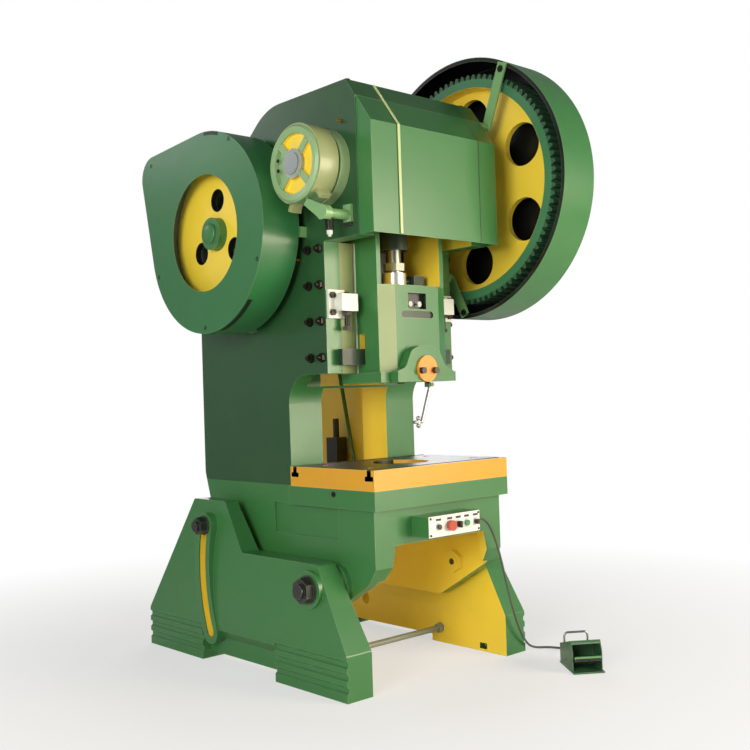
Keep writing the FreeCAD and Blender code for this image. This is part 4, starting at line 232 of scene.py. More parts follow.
def enamel(name, colour, zones=None, gloss=0.36, edge_rub_and_highlight=0.45):
    """Sprayed enamel. zones gives pairs of a colour and the zone that it covers."""
    material, tree = new_material(name)
    spot = Spot(tree)
    paint = linear(colour)
    for other, zone in (zones(spot) if zones else []):
        paint = mix(tree, zone, paint, other)
    cloud = math_of(tree, "MULTIPLY", noise(tree, spot.place, CLOUD_MM, 3), 0.22)
    shade = add(tree, "ShaderNodeMix", {"data_type": "RGBA", "blend_type": "MULTIPLY"},
                _0=cloud, _6=paint, _7=linear("#8FA08F")).outputs[2]
    # lighter edges: partly rubbed paint, partly a painted highlight
    rubbed_and_highlit = math_of(tree, "MULTIPLY", edge_mask(tree, radius=0.005, low=0.80, high=0.97), edge_rub_and_highlight)
    rubbed_and_highlit = math_of(tree, "MULTIPLY", rubbed_and_highlit, noise(tree, spot.place, RUB_AND_HIGHLIGHT_MM))
    light = mix(tree, 0.55, shade, "#EDF2DA")
    tint = mix(tree, rubbed_and_highlit, shade, light)
    rough = add(tree, "ShaderNodeMapRange", Value=noise(tree, spot.place, GLOSS_MM, 4),
                To_Min=gloss - 0.07, To_Max=gloss + 0.09).outputs[0]
    waves = math_of(tree, "MULTIPLY", noise(tree, spot.place, WAVE_MM), 6)
    peel = math_of(tree, "ADD", noise(tree, spot.place, PEEL_MM), waves)
    bump = add(tree, "ShaderNodeBump", Strength=0.10, Distance=0.002, Height=peel).outputs[0]
    finish_shader(tree, Base_Color=tint, Roughness=rough, Normal=bump, Coat_Weight=0.35,
                  Coat_Roughness=0.22, IOR=1.5)
    return material


# %% [markdown]
# ## Bare and blackened steel
# Ground steel has fine lines along the way it was ground, which stretch a highlight. Blackened
# steel, as on bolts, is dark and dull with a brown cast. A metal's colour is its reflection,
# so its base colour is bright and its roughness does the rest.

# %% Metals
# a pattern that is finer across than along makes lines: ground along X, turned round X, or none
GROUND, TURNED, POLISHED = (1, 12, 12), (12, 1, 1), (1, 1, 1)
STREAK_MM, OIL_MM = 24, 70
RUST_MM, SHEEN_MM, GRIT_MM = 18, 9, 4


def ground_steel(name, colour="#B9BDBB", roughness=0.3, stretch=GROUND, grime=0.25):
    """Bright metal with tool marks. grime is how far oil darkens it."""
    material, tree = new_material(name)
    spot = Spot(tree)
    lines = add(tree, "ShaderNodeMapping", Vector=spot.place, Scale=stretch).outputs[0]
    streak = noise(tree, lines, STREAK_MM, 4)
    oil = math_of(tree, "MULTIPLY", noise(tree, spot.place, OIL_MM, 3), grime)
    tint = mix(tree, oil, colour, "#5A5648")
    rough = add(tree, "ShaderNodeMapRange", Value=streak, To_Min=roughness - 0.08,
                To_Max=roughness + 0.12).outputs[0]
    bump = add(tree, "ShaderNodeBump", Strength=0.12, Distance=0.0006, Height=streak).outputs[0]
    finish_shader(tree, Base_Color=tint, Metallic=1.0, Roughness=rough, Normal=bump)
    return material


def blackened(name, colour="#2A2C2A", roughness=0.42):
    """Steel with a black oxide skin, bright where its edges are rubbed."""
    material, tree = new_material(name)
    spot = Spot(tree)
    rub = math_of(tree, "MULTIPLY", edge_mask(tree, radius=0.0015, low=0.8, high=0.98), 0.5)
    patch = mix(tree, noise(tree, spot.place, RUST_MM, 3), colour, "#3A332B")
    tint = mix(tree, rub, patch, "#8C8C86")
    rough = add(tree, "ShaderNodeMapRange", Value=noise(tree, spot.place, SHEEN_MM, 3),
                To_Min=roughness - 0.1, To_Max=roughness + 0.14).outputs[0]
    bump = add(tree, "ShaderNodeBump", Strength=0.15, Distance=0.0005,
               Height=noise(tree, spot.place, GRIT_MM)).outputs[0]
    finish_shader(tree, Base_Color=tint, Metallic=0.85, Roughness=rough, Normal=bump)
    return material


# %% [markdown]
# ## Rubber, plastic and powder coat
# These are all matt to half matt and one colour, so what tells them apart is the grain: rubber
# is dull and rough, moulded plastic is smoother with a shallow grain, and powder coat has the
# pebbled skin of melted grains.

# %% Moulded and coated surfaces
DUST_MM, PATCH_MM = 50, 20


def moulded(name, colour, roughness, grain_mm, depth):
    """A moulded or coated skin. depth is how strongly its grain shows, from 0 to 1."""
    material, tree = new_material(name)
    spot = Spot(tree)
    dust = math_of(tree, "MULTIPLY", noise(tree, spot.place, DUST_MM, 3), 0.25)
    tint = mix(tree, dust, colour, "#77786F")
    grain = noise(tree, spot.place, grain_mm)
    rough = add(tree, "ShaderNodeMapRange", Value=noise(tree, spot.place, PATCH_MM, 3),
                To_Min=roughness - 0.06, To_Max=roughness + 0.08).outputs[0]
    bump = add(tree, "ShaderNodeBump", Strength=depth, Distance=0.0008, Height=grain).outputs[0]
    finish_shader(tree, Base_Color=tint, Roughness=rough, Normal=bump, IOR=1.5)
    return material


# %% [markdown]
# ## The cord of the foot switch
# The cord leaves the control box on its right, hangs down in front of the right leg, turns on
# the floor and goes back into the foot switch. It is one smooth spline through the space of its
# solid, as thick as a three-core lead. The spline is turned into a mesh once its points are final.

# %% Cord
CORD_THICK = 0.009
PEDAL = Vector((0.424, -0.978, 0))
PEDAL_TURN = math.radians(-36)
ALONG = Vector((-math.sin(PEDAL_TURN), math.cos(PEDAL_TURN), 0))
GLAND_BACK, GLAND_RISE, GLAND_RUN = 0.103, 0.038, 0.072
cord_end = PEDAL + ALONG * GLAND_BACK + Vector((0, 0, GLAND_RISE))
route = [
    (0.141, -0.713, 0.576), (0.200, -0.713, 0.576), (0.255, -0.710, 0.500), (0.295, -0.706, 0.400),
    (0.327, -0.702, 0.300), (0.361, -0.698, 0.203), (0.402, -0.693, 0.113), (0.455, -0.684, 0.040),
    (0.520, -0.668, 0.005), (0.570, -0.712, 0.0052), (0.585, -0.775, 0.006),
    tuple(cord_end + ALONG * GLAND_RUN), tuple(cord_end),
]
curve = bpy.data.curves.new("FootSwitchCord", "CURVE")
curve.dimensions = "3D"
spline = curve.splines.new("NURBS")
spline.points.add(len(route) - 1)
for point, place in zip(spline.points, route):
    point.co = (*place, 1)
spline.order_u = 3
spline.use_endpoint_u = True
curve.resolution_u = 16
centre_line = curve.copy()
curve.bevel_depth = CORD_THICK / 2
curve.bevel_resolution = 5
curve.use_fill_caps = True


def mesh_of(line_curve):
    """The mesh that a curve makes, as its own copy."""
    probe = put("Probe", line_curve)
    mesh = bpy.data.meshes.new_from_object(probe.evaluated_get(bpy.context.evaluated_depsgraph_get()))
    bpy.data.objects.remove(probe)
    return mesh


middle = [tuple(v.co) for v in mesh_of(centre_line).vertices]
cord_mesh = mesh_of(curve)
cord_mesh.materials.clear()
cord_mesh.materials.append(moulded("PVC cord sheath", "#4A4F4B", 0.45, grain_mm=3, depth=0.1))
cord_mesh.shade_smooth()
cord = put("FootSwitchCord", cord_mesh)
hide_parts("pedal_cord")
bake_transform(cord)

# %% [markdown]
# ## Floor and light
# The press stands in a white studio. A wide warm lamp in front lights the faces that the operator
# sees, a weaker one on the left fills the side, two behind light the back, and the world does the
# rest. The floor is white to the camera, but round the feet it still shows the shadow.

# %% Stage
floor_material, tree = new_material("Studio floor")
rays = add(tree, "ShaderNodeLightPath")
grain = noise(tree, add(tree, "ShaderNodeTexCoord").outputs["Object"], size_mm=400)
pale = mix(tree, grain, "#EFEFEC", "#F3F3F1")
matt = add(tree, "ShaderNodeBsdfDiffuse", Color=pale)
white = add(tree, "ShaderNodeEmission", Color=linear("#FFFFFF"), Strength=1.0)
away = add(tree, "ShaderNodeVectorMath", {"operation": "LENGTH"},
           _0=add(tree, "ShaderNodeTexCoord").outputs["Object"]).outputs["Value"]
fade = add(tree, "ShaderNodeMapRange", Value=away, From_Min=1.0, From_Max=3.0, To_Min=0.55, To_Max=1.0)
shown = math_of(tree, "MULTIPLY", rays.outputs["Is Camera Ray"], fade.outputs[0])
both = add(tree, "ShaderNodeMixShader", _0=shown, _1=matt.outputs[0], _2=white.outputs[0])
add(tree, "ShaderNodeOutputMaterial", Surface=both.outputs[0])

FLOOR_HALF, FLOOR_TOP = 30, -0.001
corners = [(x * FLOOR_HALF, y * FLOOR_HALF, FLOOR_TOP) for x, y in ((-1, -1), (1, -1), (1, 1), (-1, 1))]
floor_mesh = bpy.data.meshes.new("Floor")
floor_mesh.from_pydata(corners, [], [(0, 1, 2, 3)])
floor_mesh.materials.append(floor_material)
put("Floor", floor_mesh)

world = bpy.data.worlds.new("Studio")
bpy.context.scene.world = world
world.use_nodes = True
tree = world.node_tree
tree.nodes.clear()
rays = add(tree, "ShaderNodeLightPath")
# the studio is bright at eye level and dim overhead
ray = add(tree, "ShaderNodeSeparateXYZ", Vector=add(tree, "ShaderNodeNewGeometry").outputs["Incoming"])
level = add(tree, "ShaderNodeMapRange", Value=ray.outputs["Z"], From_Min=-0.9, From_Max=-0.05,
            To_Min=0.10, To_Max=0.40)
soft = add(tree, "ShaderNodeBackground", Color=linear("#F4F6FA"), Strength=level.outputs[0])
bright = add(tree, "ShaderNodeBackground", Color=linear("#FFFFFF"), Strength=1.0)
seen = add(tree, "ShaderNodeMixShader", _0=rays.outputs["Is Camera Ray"], _1=soft.outputs[0],
           _2=bright.outputs[0])
add(tree, "ShaderNodeOutputWorld", Surface=seen.outputs[0])


def lamp(name, place, target, size, watts, colour="#FFFFFF"):
    """A rectangular lamp that looks at its target."""
    light = bpy.data.lights.new(name, "AREA")
    light.shape = "RECTANGLE"
    light.size, light.size_y = size
    light.energy = watts
    light.color = linear(colour)[:3]
    holder = put(name, light)
    holder.location = place
    holder.rotation_euler = (Vector(target) - Vector(place)).to_track_quat("-Z", "Y").to_euler()


lamp("Front lamp", (2.3, -5.4, 1.6), target=(0, -0.5, 1.0), size=(3.0, 2.4), watts=290, colour="#FFEFD6")
lamp("Left lamp", (-5.0, -2.6, 2.0), target=(0, -0.3, 1.2), size=(2.2, 2.0), watts=190, colour="#FFF8EE")
lamp("Rear left lamp", (-3.0, 4.9, 3.9), target=(-0.5, 0.3, 2.0), size=(1.8, 1.4), watts=18)
lamp("Back lamp", (3.2, 3.8, 2.6), target=(0, 0, 1.2), size=(3.0, 2.4), watts=80)
print(len(bpy.data.lights), "lamps")

# %% [markdown]
# ## The castings
# Legs, frame, slide and guards share the one green. Inside, where chips fly and hands reach, the
# foundry paint is yellow. Each casting gets its own zones, whose limits are the solids' own sizes
# in metres, with a hair to spare so that a face never lies on the border.

# %% Axes
# each axis runs from side to side, at a (y, z) in metres
CENTRES, SETBACK = 0.545, 0.512
PIVOT = (-0.465, 0.370)
CRANK = (-0.460, 1.905)
SHAFT = (0.052, 1.905 - math.sqrt(CENTRES ** 2 - SETBACK ** 2))
print("the flywheel turns at a height of", round(SHAFT[1], 4), "m")

# %% [markdown]
# ## Zones of the legs and the frame
# A leg is yellow on the face that it turns to the other leg, and on the walls of its curved slot.
# The frame is yellow between its two cheeks, and its sides and its top are painted a deeper green
# as painted shade.


# %% Legs and frame
def leg_zones(spot):
    inner_face, outer_face = 0.42, 0.4775
    slot_near, slot_far, slot_foot, slot_head = 0.6625, 0.7135, 0.1015, 0.5755
    across = spot.size(spot.x)
    inside = spot.where((spot.inward(), "<", -FLAT), (across, "<", inner_face))
    slot_wall = spot.where((spot.size(spot.nx), "<", LEANING),
                           *between(spot.reach(*PIVOT), slot_near, slot_far),
                           (across, "<", outer_face), *between(spot.z, slot_foot, slot_head))
    return [(YELLOW, inside), (YELLOW, slot_wall)]


def frame_zones(spot):
    cheek, flank = 0.2915, 0.3
    front, back, middle = -0.6365, 0.4, 0.0
    mouth_top, table, ledge, head_top = 0.62, 0.72, 1.0, 2.02
    across = spot.size(spot.x)
    inside = spot.where((across, "<", cheek), *between(spot.y, front, back))
    tops = spot.where((spot.nz, ">", LEANING), (spot.z, ">", ledge))
    bottoms = spot.where((spot.nz, "<", -MOSTLY), (spot.z, ">", ledge))
    fronts = spot.where((spot.ny, "<", -MOSTLY), (spot.z, ">", table), (spot.y, "<", middle))
    # the roof and the outer sides above the table are painted a deeper green as painted shade
    shaded_roof = spot.where((spot.nz, ">", LEANING), (spot.z, ">", head_top))
    sides = spot.where((spot.size(spot.nx), ">", FLAT), (across, ">", flank), (spot.z, ">", table))
    mouth = spot.where((spot.inward(), "<", -FLAT), (across, "<", cheek), (spot.z, "<", mouth_top))
    return [(YELLOW, spot.but(inside, tops, bottoms, fronts)), (YELLOW, mouth), (SHADED_GREEN, shaded_roof),
            (SHADED_GREEN, sides)]


# %% [markdown]
# ## Zones of the slide
# The slide is one casting with many cuts: a deep yellow pocket for the rod, whose back wall is
# painted near black as painted shade, a slot for the knockout bar, chamfers painted pale as a painted
# highlight, and a groove in its front with a window painted black as painted shade, and two bolt ends.


# %% Slide
def slide_zones(spot):
    pocket_half, pocket_floor, pocket_front = 0.159, 1.4735, -0.56
    slot_front, slot_back, slot_low, slot_high = -0.4765, -0.4475, 1.17, 1.2925
    groove_half, groove_low, groove_high, groove_face, window_face = 0.11, 1.33, 1.47, -0.5845, -0.5755
    bolt_front, bolt_back, bolt_near, bolt_far, bolt_low, bolt_high = (
        -0.5735, -0.5605, 0.0135, 0.0345, 1.3925, 1.4135)
    across = spot.size(spot.x)
    pocket = [(across, "<", pocket_half), (spot.z, ">", pocket_floor), (spot.y, ">", pocket_front)]
    # the back wall of the pocket is painted near black as painted shade
    shade = pocket + [(spot.ny, "<", -MOSTLY)]
    bar_slot = [(spot.size(spot.nx), "<", MOSTLY), *between(spot.y, slot_front, slot_back),
                *between(spot.z, slot_low, slot_high)]
    # the chamfers are painted pale as a painted highlight
    highlit_chamfer = [(spot.ny, "<", -LEANING), (spot.nx, "<", -LEANING), (across, ">", groove_half)]
    in_groove = [(across, "<", groove_half), *between(spot.z, groove_low, groove_high)]
    groove = [(spot.y, ">", groove_face)] + in_groove
    # the window is painted black as painted shade
    shaded_window = [(spot.y, ">", window_face)] + in_groove
    bolts = [*between(spot.y, bolt_front, bolt_back), *between(across, bolt_near, bolt_far),
             *between(spot.z, bolt_low, bolt_high)]
    colours = [(YELLOW, pocket), ("#17150F", shade), (YELLOW, bar_slot), ("#A3B287", highlit_chamfer),
               ("#15301C", groove), ("#060706", shaded_window), ("#C9CDC6", bolts)]
    return [(colour, spot.where(*tests)) for colour, tests in colours]


# %% [markdown]
# ## Zones of the wheels
# A zone round an axis is a distance from it. The gear's web is yellow and its teeth are darker, the
# flywheel has a green hub, a worn rim and three holes whose walls are painted dark as painted shade,
# and the guard of the gear is painted black inside as painted shade.


# %% Gear, flywheel and drum
def gear_guard_zones(spot):
    drum_radius, lobe_radius, rim_face = 0.5395, 0.1035, 0.5845
    drum = spot.where((spot.reach(*CRANK), "<", drum_radius))
    lobe = spot.where((spot.reach(*SHAFT), "<", lobe_radius))
    open_side = spot.where((spot.x, "<", rim_face))
    # the inside of the guard is painted black as painted shade
    inside = math_of(spot.tree, "MULTIPLY", math_of(spot.tree, "MAXIMUM", drum, lobe), open_side)
    return [("#080A09", inside)]


def gear_zones(spot):
    web_radius, tooth_root, tooth_darkening = 0.4245, 0.4600, 0.55
    from_crank = spot.reach(*CRANK)
    web = spot.where((from_crank, "<", web_radius))
    teeth = spot.where((from_crank, ">", tooth_root))
    return [(YELLOW, web), ("#1B241D", math_of(spot.tree, "MULTIPLY", teeth, tooth_darkening))]


def wheel_zones(spot):
    hub_radius, rim_radius, hole_circle, hole_radius = 0.066, 0.2955, 0.135, 0.0458
    from_shaft = spot.reach(*SHAFT)
    hub = spot.where((from_shaft, "<", hub_radius))
    rim = spot.where((from_shaft, ">", rim_radius))
    zones = [(GREEN, hub), ("#5E6460", rim)]
    # the walls of the three holes are painted near black as painted shade
    for angle in (92, 212, 332):
        y = SHAFT[0] + hole_circle * math.cos(math.radians(angle))
        z = SHAFT[1] + hole_circle * math.sin(math.radians(angle))
        zones.append(("#14150F", spot.where((spot.reach(y, z), "<", hole_radius))))
    return zones


def drum_zones(spot):
    """The recess round the hub is yellow, but for a quarter at the back, which keeps the face's green as
    painted shade.
    """
    recess_face, recess_in, recess_out, hub_face, hub_radius = -0.4755, 0.0495, 0.1085, -0.47, 0.0545
    from_crank = spot.reach(*CRANK)
    # the quarter behind two lines at 45 degrees keeps the face's green, as painted shade
    back = math_of(spot.tree, "SUBTRACT", spot.y, CRANK[0])
    rise = spot.size(math_of(spot.tree, "SUBTRACT", spot.z, CRANK[1]))
    lean = math_of(spot.tree, "SUBTRACT", back, rise)
    recess = spot.where((spot.x, ">", recess_face), *between(from_crank, recess_in, recess_out),
                        (lean, "<", 0.0))
    hub = spot.where((from_crank, "<", hub_radius), (spot.x, "<", hub_face))
    return [(YELLOW, recess), ("#9FA8A0", hub)]


# %% [markdown]
# ## Zones of the small castings
# The head cover is painted near black inside and darker on its slope, both as painted shade. The
# brake's anchor has a black sleeve and a bright tip, the big bolts are yellow inside the legs, where
# the pivot bolts carry a dark disc of painted shade at their middle, and the disc's own bolts are dark.


# %% Cover, anchor, bolts and disc
def cover_zones(spot):
    skin_back, skin_half, upward = -0.7095, 0.3265, 0.1
    # the inside of the cover skin is painted near black as painted shade, and its slope darker green as
    # painted shade
    inside = spot.where((spot.y, ">", skin_back), (spot.nz, "<", upward),
                        (spot.size(spot.x), "<", skin_half))
    shaded_slope = spot.where((spot.nz, ">", LEANING))
    return [("#1E2A20", inside), ("#316438", shaded_slope)]


def anchor_zones(spot):
    sleeve_top, tip_top = 1.6855, 1.6500
    zones = [("#1C1E1C", sleeve_top), ("#C9CDC6", tip_top)]
    return [(colour, spot.where((spot.z, "<", top))) for colour, top in zones]


def bolt_zones(spot):
    leg_face, hole_shade_radius = 0.3385, 0.013
    inside = [(spot.size(spot.x), "<", leg_face)]
    # a dark disc at the pivot bolts' middle is painted shade where a hole would be
    hole_shade = inside + [(spot.reach(*PIVOT), "<", hole_shade_radius)]
    return [(YELLOW, spot.where(*inside)), ("#2B2413", spot.where(*hole_shade))]


def disc_zones(spot):
    disc_face = -0.6325
    return [("#26241F", spot.where((spot.y, "<", disc_face)))]


# %% [markdown]
# ## The paints
# Every paint is the same enamel. What changes from one to the next is the colour, the zones, and
# how fresh it is: gloss is the roughness of the layer below the coat, and the edge share is how
# rubbed the edges are and how much painted highlight lies on them.

# %% Paints
leg_paint = enamel("Enamel on the legs", GREEN, leg_zones)
anchor_paint = enamel("Enamel on the brake anchor", "#7FB074", anchor_zones)
bolt_paint = enamel("Enamel on the big bolts", "#202322", bolt_zones, gloss=0.3)
frame_paint = enamel("Enamel on the frame", GREEN, frame_zones)
slide_paint = enamel("Enamel on the slide", GREEN, slide_zones)
cover_paint = enamel("Enamel on the head cover", GREEN, cover_zones)
green_paint = enamel("Green enamel", GREEN)
strap_paint = enamel("Light green enamel on the straps", "#79AE6E")
belt_paint = enamel("Green enamel on the sheet guards", "#2F7440")
# dark green for the knockout bar and the screw lock, and painted shade on the connecting rod and its cap
dark_green_and_shade = enamel("Dark green enamel", "#15301C", gloss=0.55)
guard_paint = enamel("Enamel on the gear guard", GREEN, gear_guard_zones)
gear_paint = enamel("Enamel on the bull gear", "#438258", gear_zones, gloss=0.42)
wheel_paint = enamel("Enamel on the flywheel", YELLOW, wheel_zones, gloss=0.4)
drum_paint = enamel("Enamel on the brake drum", "#8FB481", drum_zones)
band_paint = enamel("Olive enamel on the brake band", "#9FA875", gloss=0.42)
pale_paint = enamel("Pale enamel on the brake plate", "#9DBB86")
gib_paint = enamel("Olive enamel on the gibs", "#8F9A63", gloss=0.4)
block_paint = enamel("White enamel on the brackets", "#E2E6DC", gloss=0.4)
rod_paint = enamel("Grey enamel on the tie rod", "#8E978C")
disc_paint = enamel("Orange enamel", "#F0981A", disc_zones, gloss=0.4, edge_rub_and_highlight=0.1)
cast_paint = enamel("Yellow enamel", YELLOW)
print(sum("enamel" in material.name.lower() for material in bpy.data.materials), "paints")

# %% [markdown]
# ## The bolster
# The table plate is painted round its sides and ground on top. Its slots are bare steel, dark
# with oil. So one material is metal in one zone and paint in the rest.


# %% Bolster
def bolster_finish():
    half_width, front, back = 0.3545, -0.6995, -0.2205
    line_mm, oil_mm, cloud_mm = 30, 90, 150
    material, tree = new_material("Painted and ground bolster")
    spot = Spot(tree)
    top = spot.where((spot.nz, ">", MOSTLY))
    slots = spot.where((spot.size(spot.nx), "<", MOSTLY), (spot.size(spot.x), "<", half_width),
                       *between(spot.y, front, back))
    bare = math_of(tree, "MAXIMUM", top, slots)
    lines = add(tree, "ShaderNodeMapping", Vector=spot.place, Scale=(1, 14, 14)).outputs[0]
    streak = noise(tree, lines, line_mm, 4)
    steel = mix(tree, noise(tree, spot.place, oil_mm, 4), "#4A4F49", "#23281F")
    cloud = math_of(tree, "MULTIPLY", noise(tree, spot.place, cloud_mm, 3), 0.5)
    paint = mix(tree, cloud, "#D9A226", "#D29428")
    # lighter edges: partly rubbed paint, partly a painted highlight
    edge_rub_and_highlight = math_of(tree, "MULTIPLY", edge_mask(tree, radius=0.004, low=0.8, high=0.97), 0.3)
    paint = mix(tree, edge_rub_and_highlight, paint, "#FBE9B0")
    tint = mix(tree, bare, paint, steel)
    rough = add(tree, "ShaderNodeMapRange", Value=streak, To_Min=0.30, To_Max=0.48).outputs[0]
    bump = add(tree, "ShaderNodeBump", Strength=0.10, Distance=0.0008, Height=streak).outputs[0]
    finish_shader(tree, Base_Color=tint, Metallic=bare, Roughness=rough, Normal=bump, Coat_Weight=0.12,
                  Coat_Roughness=0.25)
    return material


# %% [markdown]
# ## The foot switch
# The pressed-steel hood is dark green and its treadle is black with a green lip.


# %% Foot switch finishes
def treadle_zones(spot):
    lip_low = 0.0545
    return [("#6FA56C", spot.where((spot.z, ">", lip_low)))]


pedal_paint = enamel("Stove enamel on the foot switch", "#3B6747", gloss=0.33)
treadle_paint = enamel("Black enamel on the treadle", "#222623", treadle_zones, gloss=0.45)

# %% [markdown]
# ## Every solid gets its finish
# The table below pairs each solid with what it is made of. Assigning to the slots of a solid's
# object leaves its mesh alone.

# %% Assign finishes
steel = ground_steel("Ground steel")
turned_steel = ground_steel("Turned steel", "#C6CAC8", 0.28, TURNED, grime=0.15)
dull_steel = ground_steel("Dull turned steel", "#8F958C", 0.34, TURNED, grime=0.15)
chrome = ground_steel("Chrome plate", "#EDEDE8", 0.30, POLISHED, grime=0.05)
bronze = ground_steel("Tin bronze", "#B98A3C", 0.32, TURNED, grime=0.2)
black_steel = blackened("Blackened steel")
black_paint = enamel("Black enamel", "#1D2220", gloss=0.4)
belt_rubber = moulded("Vulcanised rubber", "#1E1F1E", 0.7, grain_mm=2, depth=0.3)
black_plastic = moulded("Black moulded plastic", "#191B1A", 0.42, grain_mm=2, depth=0.15)
red_plastic = moulded("Red moulded plastic", "#C23E26", 0.28, grain_mm=6, depth=0.05)
green_plastic = moulded("Green moulded plastic", "#2F8F5A", 0.28, grain_mm=6, depth=0.05)
white_coat = moulded("White powder coat", "#F1F2EE", 0.4, grain_mm=3, depth=0.12)

FINISHES = {
    leg_paint: "left_leg right_leg",
    frame_paint: "frame",
    slide_paint: "slide",
    cover_paint: "head_cover",
    green_paint: "die_clamp clutch_sleeve control_box",
    strap_paint: "guard_supports",
    # the connecting rod and its cap take this dark enamel as painted shade, deep in the slide's pocket
    dark_green_and_shade: "connecting_rod rod_cap knockout_bar screw_lock",
    anchor_paint: "brake_anchor",
    belt_paint: "belt_guard motor motor_base clutch_rod",
    guard_paint: "gear_guard",
    gear_paint: "bull_gear",
    wheel_paint: "flywheel",
    cast_paint: "shaft_bearings",
    drum_paint: "brake_drum",
    band_paint: "brake_band",
    pale_paint: "brake_plate",
    gib_paint: "left_gib right_gib",
    block_paint: "stop_brackets",
    disc_paint: "clamp_disc",
    bolster_finish(): "bolster",
    pedal_paint: "pedal_base pedal_housing",
    treadle_paint: "pedal_treadle",
    rod_paint: "tie_rod",
    steel: "pinion_shaft motor_pulley pedal_handle clamp_lever",
    turned_steel: "crankshaft",
    dull_steel: "ball_screw",
    chrome: "ball_cap",
    bronze: "crank_bushes ball_seat",
    bolt_paint: "pivot_bolts lock_bolts",
    black_steel: "bolster_screws rod_bolts gib_screws stop_screws",
    black_paint: "clutch_solenoid",
    belt_rubber: "v_belts",
    white_coat: "control_panel",
    black_plastic: "jog_button mode_switch key_switch pedal_gland cord_gland",
    red_plastic: "stop_button",
    green_plastic: "start_button",
}
finished = {"pedal_cord"}
for material, names in FINISHES.items():
    for name in names.split():
        finished.add(name)
        for slot in nodes[name].material_slots:
            slot.material = material
print("solids without a finish:", sorted(set(nodes) - finished))

# %% [markdown]
# ## Fittings by Geometry Nodes
# Screws, the coils of a spring and the wires of a grille repeat, so each kind is one node tree
# with named sizes. A tree puts one shape on every point that it is given, turned to the point's
# own facing. The result is made a plain mesh once, so that it can ride on its body like any other.


def piece(name, mesh, material, body, smooth=35):
    """A mesh as a finished piece on its body. An edge under smooth degrees is shaded round."""
    mesh.materials.clear()
    mesh.materials.append(material)
    obj = put(name, mesh)
    mesh.shade_smooth()
    mesh.set_sharp_from_angle(angle=math.radians(smooth))
    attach(obj, body)


def group(name, **inputs):
    """A node tree with a geometry in, a geometry out and a named input for each size."""
    tree = bpy.data.node_groups.new(name, "GeometryNodeTree")
    tree.interface.new_socket("Geometry", in_out="INPUT", socket_type="NodeSocketGeometry")
    for key, kind in inputs.items():
        tree.interface.new_socket(key.replace("_", " "), in_out="INPUT", socket_type="NodeSocket" + kind)
    tree.interface.new_socket("Geometry", in_out="OUTPUT", socket_type="NodeSocketGeometry")
    source = add(tree, "NodeGroupInput")
    return tree, source.outputs


def close_group(tree, points, shape, material):
    """The tree's end: the shape on every point, its Z turned to the point's facing."""
    way = add(tree, "GeometryNodeInputNamedAttribute", {"data_type": "FLOAT_VECTOR"}, Name="facing")
    turn = add(tree, "FunctionNodeAlignRotationToVector", {"axis": "Z"}, Vector=way.outputs[0])
    many = add(tree, "GeometryNodeInstanceOnPoints", Points=points, Instance=shape, Rotation=turn.outputs[0])
    real = add(tree, "GeometryNodeRealizeInstances", _0=many.outputs[0]).outputs[0]
    dressed = add(tree, "GeometryNodeSetMaterial", Geometry=real, Material=material)
    add(tree, "NodeGroupOutput", _0=dressed.outputs[0])


def grow(tree, points, **inputs):
    """The mesh that a tree grows on points, a list of (place, facing)."""
    seed = bpy.data.meshes.new("Seed")
    seed.from_pydata([place for place, _ in points], [], [])
    facing = seed.attributes.new("facing", "FLOAT_VECTOR", "POINT")
    for row, (_, way) in enumerate(points):
        facing.data[row].vector = way
    holder = put("Seed", seed)
    modifier = holder.modifiers.new("Grow", "NODES")
    modifier.node_group = tree
    for item in tree.interface.items_tree:
        key = item.name.replace(" ", "_")
        if item.in_out == "INPUT" and key in inputs:
            modifier[item.identifier] = inputs[key]
    evaluated = holder.evaluated_get(bpy.context.evaluated_depsgraph_get())
    mesh = bpy.data.meshes.new_from_object(evaluated)
    bpy.data.objects.remove(holder)
    return mesh


# %% [markdown]
# ## Screws
# A hexagon screw has a head with turned-off corners and a washer under it. A socket screw is
# a cylinder with a hexagon sunk in it. Both come from one tree: a head of any number of sides with
# a smaller round step on top, a socket cut out of them, and a washer.

# %% The screw tree
ROUND, WASHER_THICK, WASHER_RISE = 24, 0.003, 0.0012
STEP_WIDTH, STEP_RISE, SOCKET_RISE = 0.86, 0.83, 1.1
screw_tree, size = group("Screws", Sides="Int", Head="Float", Height="Float", Socket="Float", Washer="Float")


def bar(sides, radius, depth, rise):
    """A prism whose middle is at a rise above the face."""
    solid = add(screw_tree, "GeometryNodeMeshCylinder", Vertices=sides, Radius=radius, Depth=depth)
    lift = add(screw_tree, "ShaderNodeCombineXYZ", Z=rise).outputs[0]
    return add(screw_tree, "GeometryNodeTransform", Geometry=solid.outputs[0], Translation=lift).outputs[0]


def part_of(name, share):
    return math_of(screw_tree, "MULTIPLY", size[name], share)


head = bar(size["Sides"], size["Head"], size["Height"], part_of("Height", 0.5))
step = bar(ROUND, part_of("Head", STEP_WIDTH), part_of("Height", 0.5), part_of("Height", STEP_RISE))
socket = bar(6, size["Socket"], size["Height"], part_of("Height", SOCKET_RISE))
whole = add(screw_tree, "GeometryNodeMeshBoolean", {"operation": "UNION", "solver": "EXACT"})
for solid in (head, step):
    screw_tree.links.new(solid, whole.inputs[1])
cut = add(screw_tree, "GeometryNodeMeshBoolean", {"operation": "DIFFERENCE", "solver": "EXACT"},
          _0=whole.outputs[0], _1=socket)
hollow = math_of(screw_tree, "GREATER_THAN", size["Socket"], 0.0)
sunk = add(screw_tree, "GeometryNodeSwitch", {"input_type": "GEOMETRY"}, Switch=hollow,
           False_=whole.outputs[0], True_=cut.outputs[0])
washer = bar(ROUND, size["Washer"], WASHER_THICK, WASHER_RISE)
screw = add(screw_tree, "GeometryNodeJoinGeometry")
for solid in (sunk.outputs[0], washer):
    screw_tree.links.new(solid, screw.inputs[0])
close_group(screw_tree, size["Geometry"], screw.outputs[0], black_steel)
print("a screw takes", len(screw_tree.nodes), "nodes")

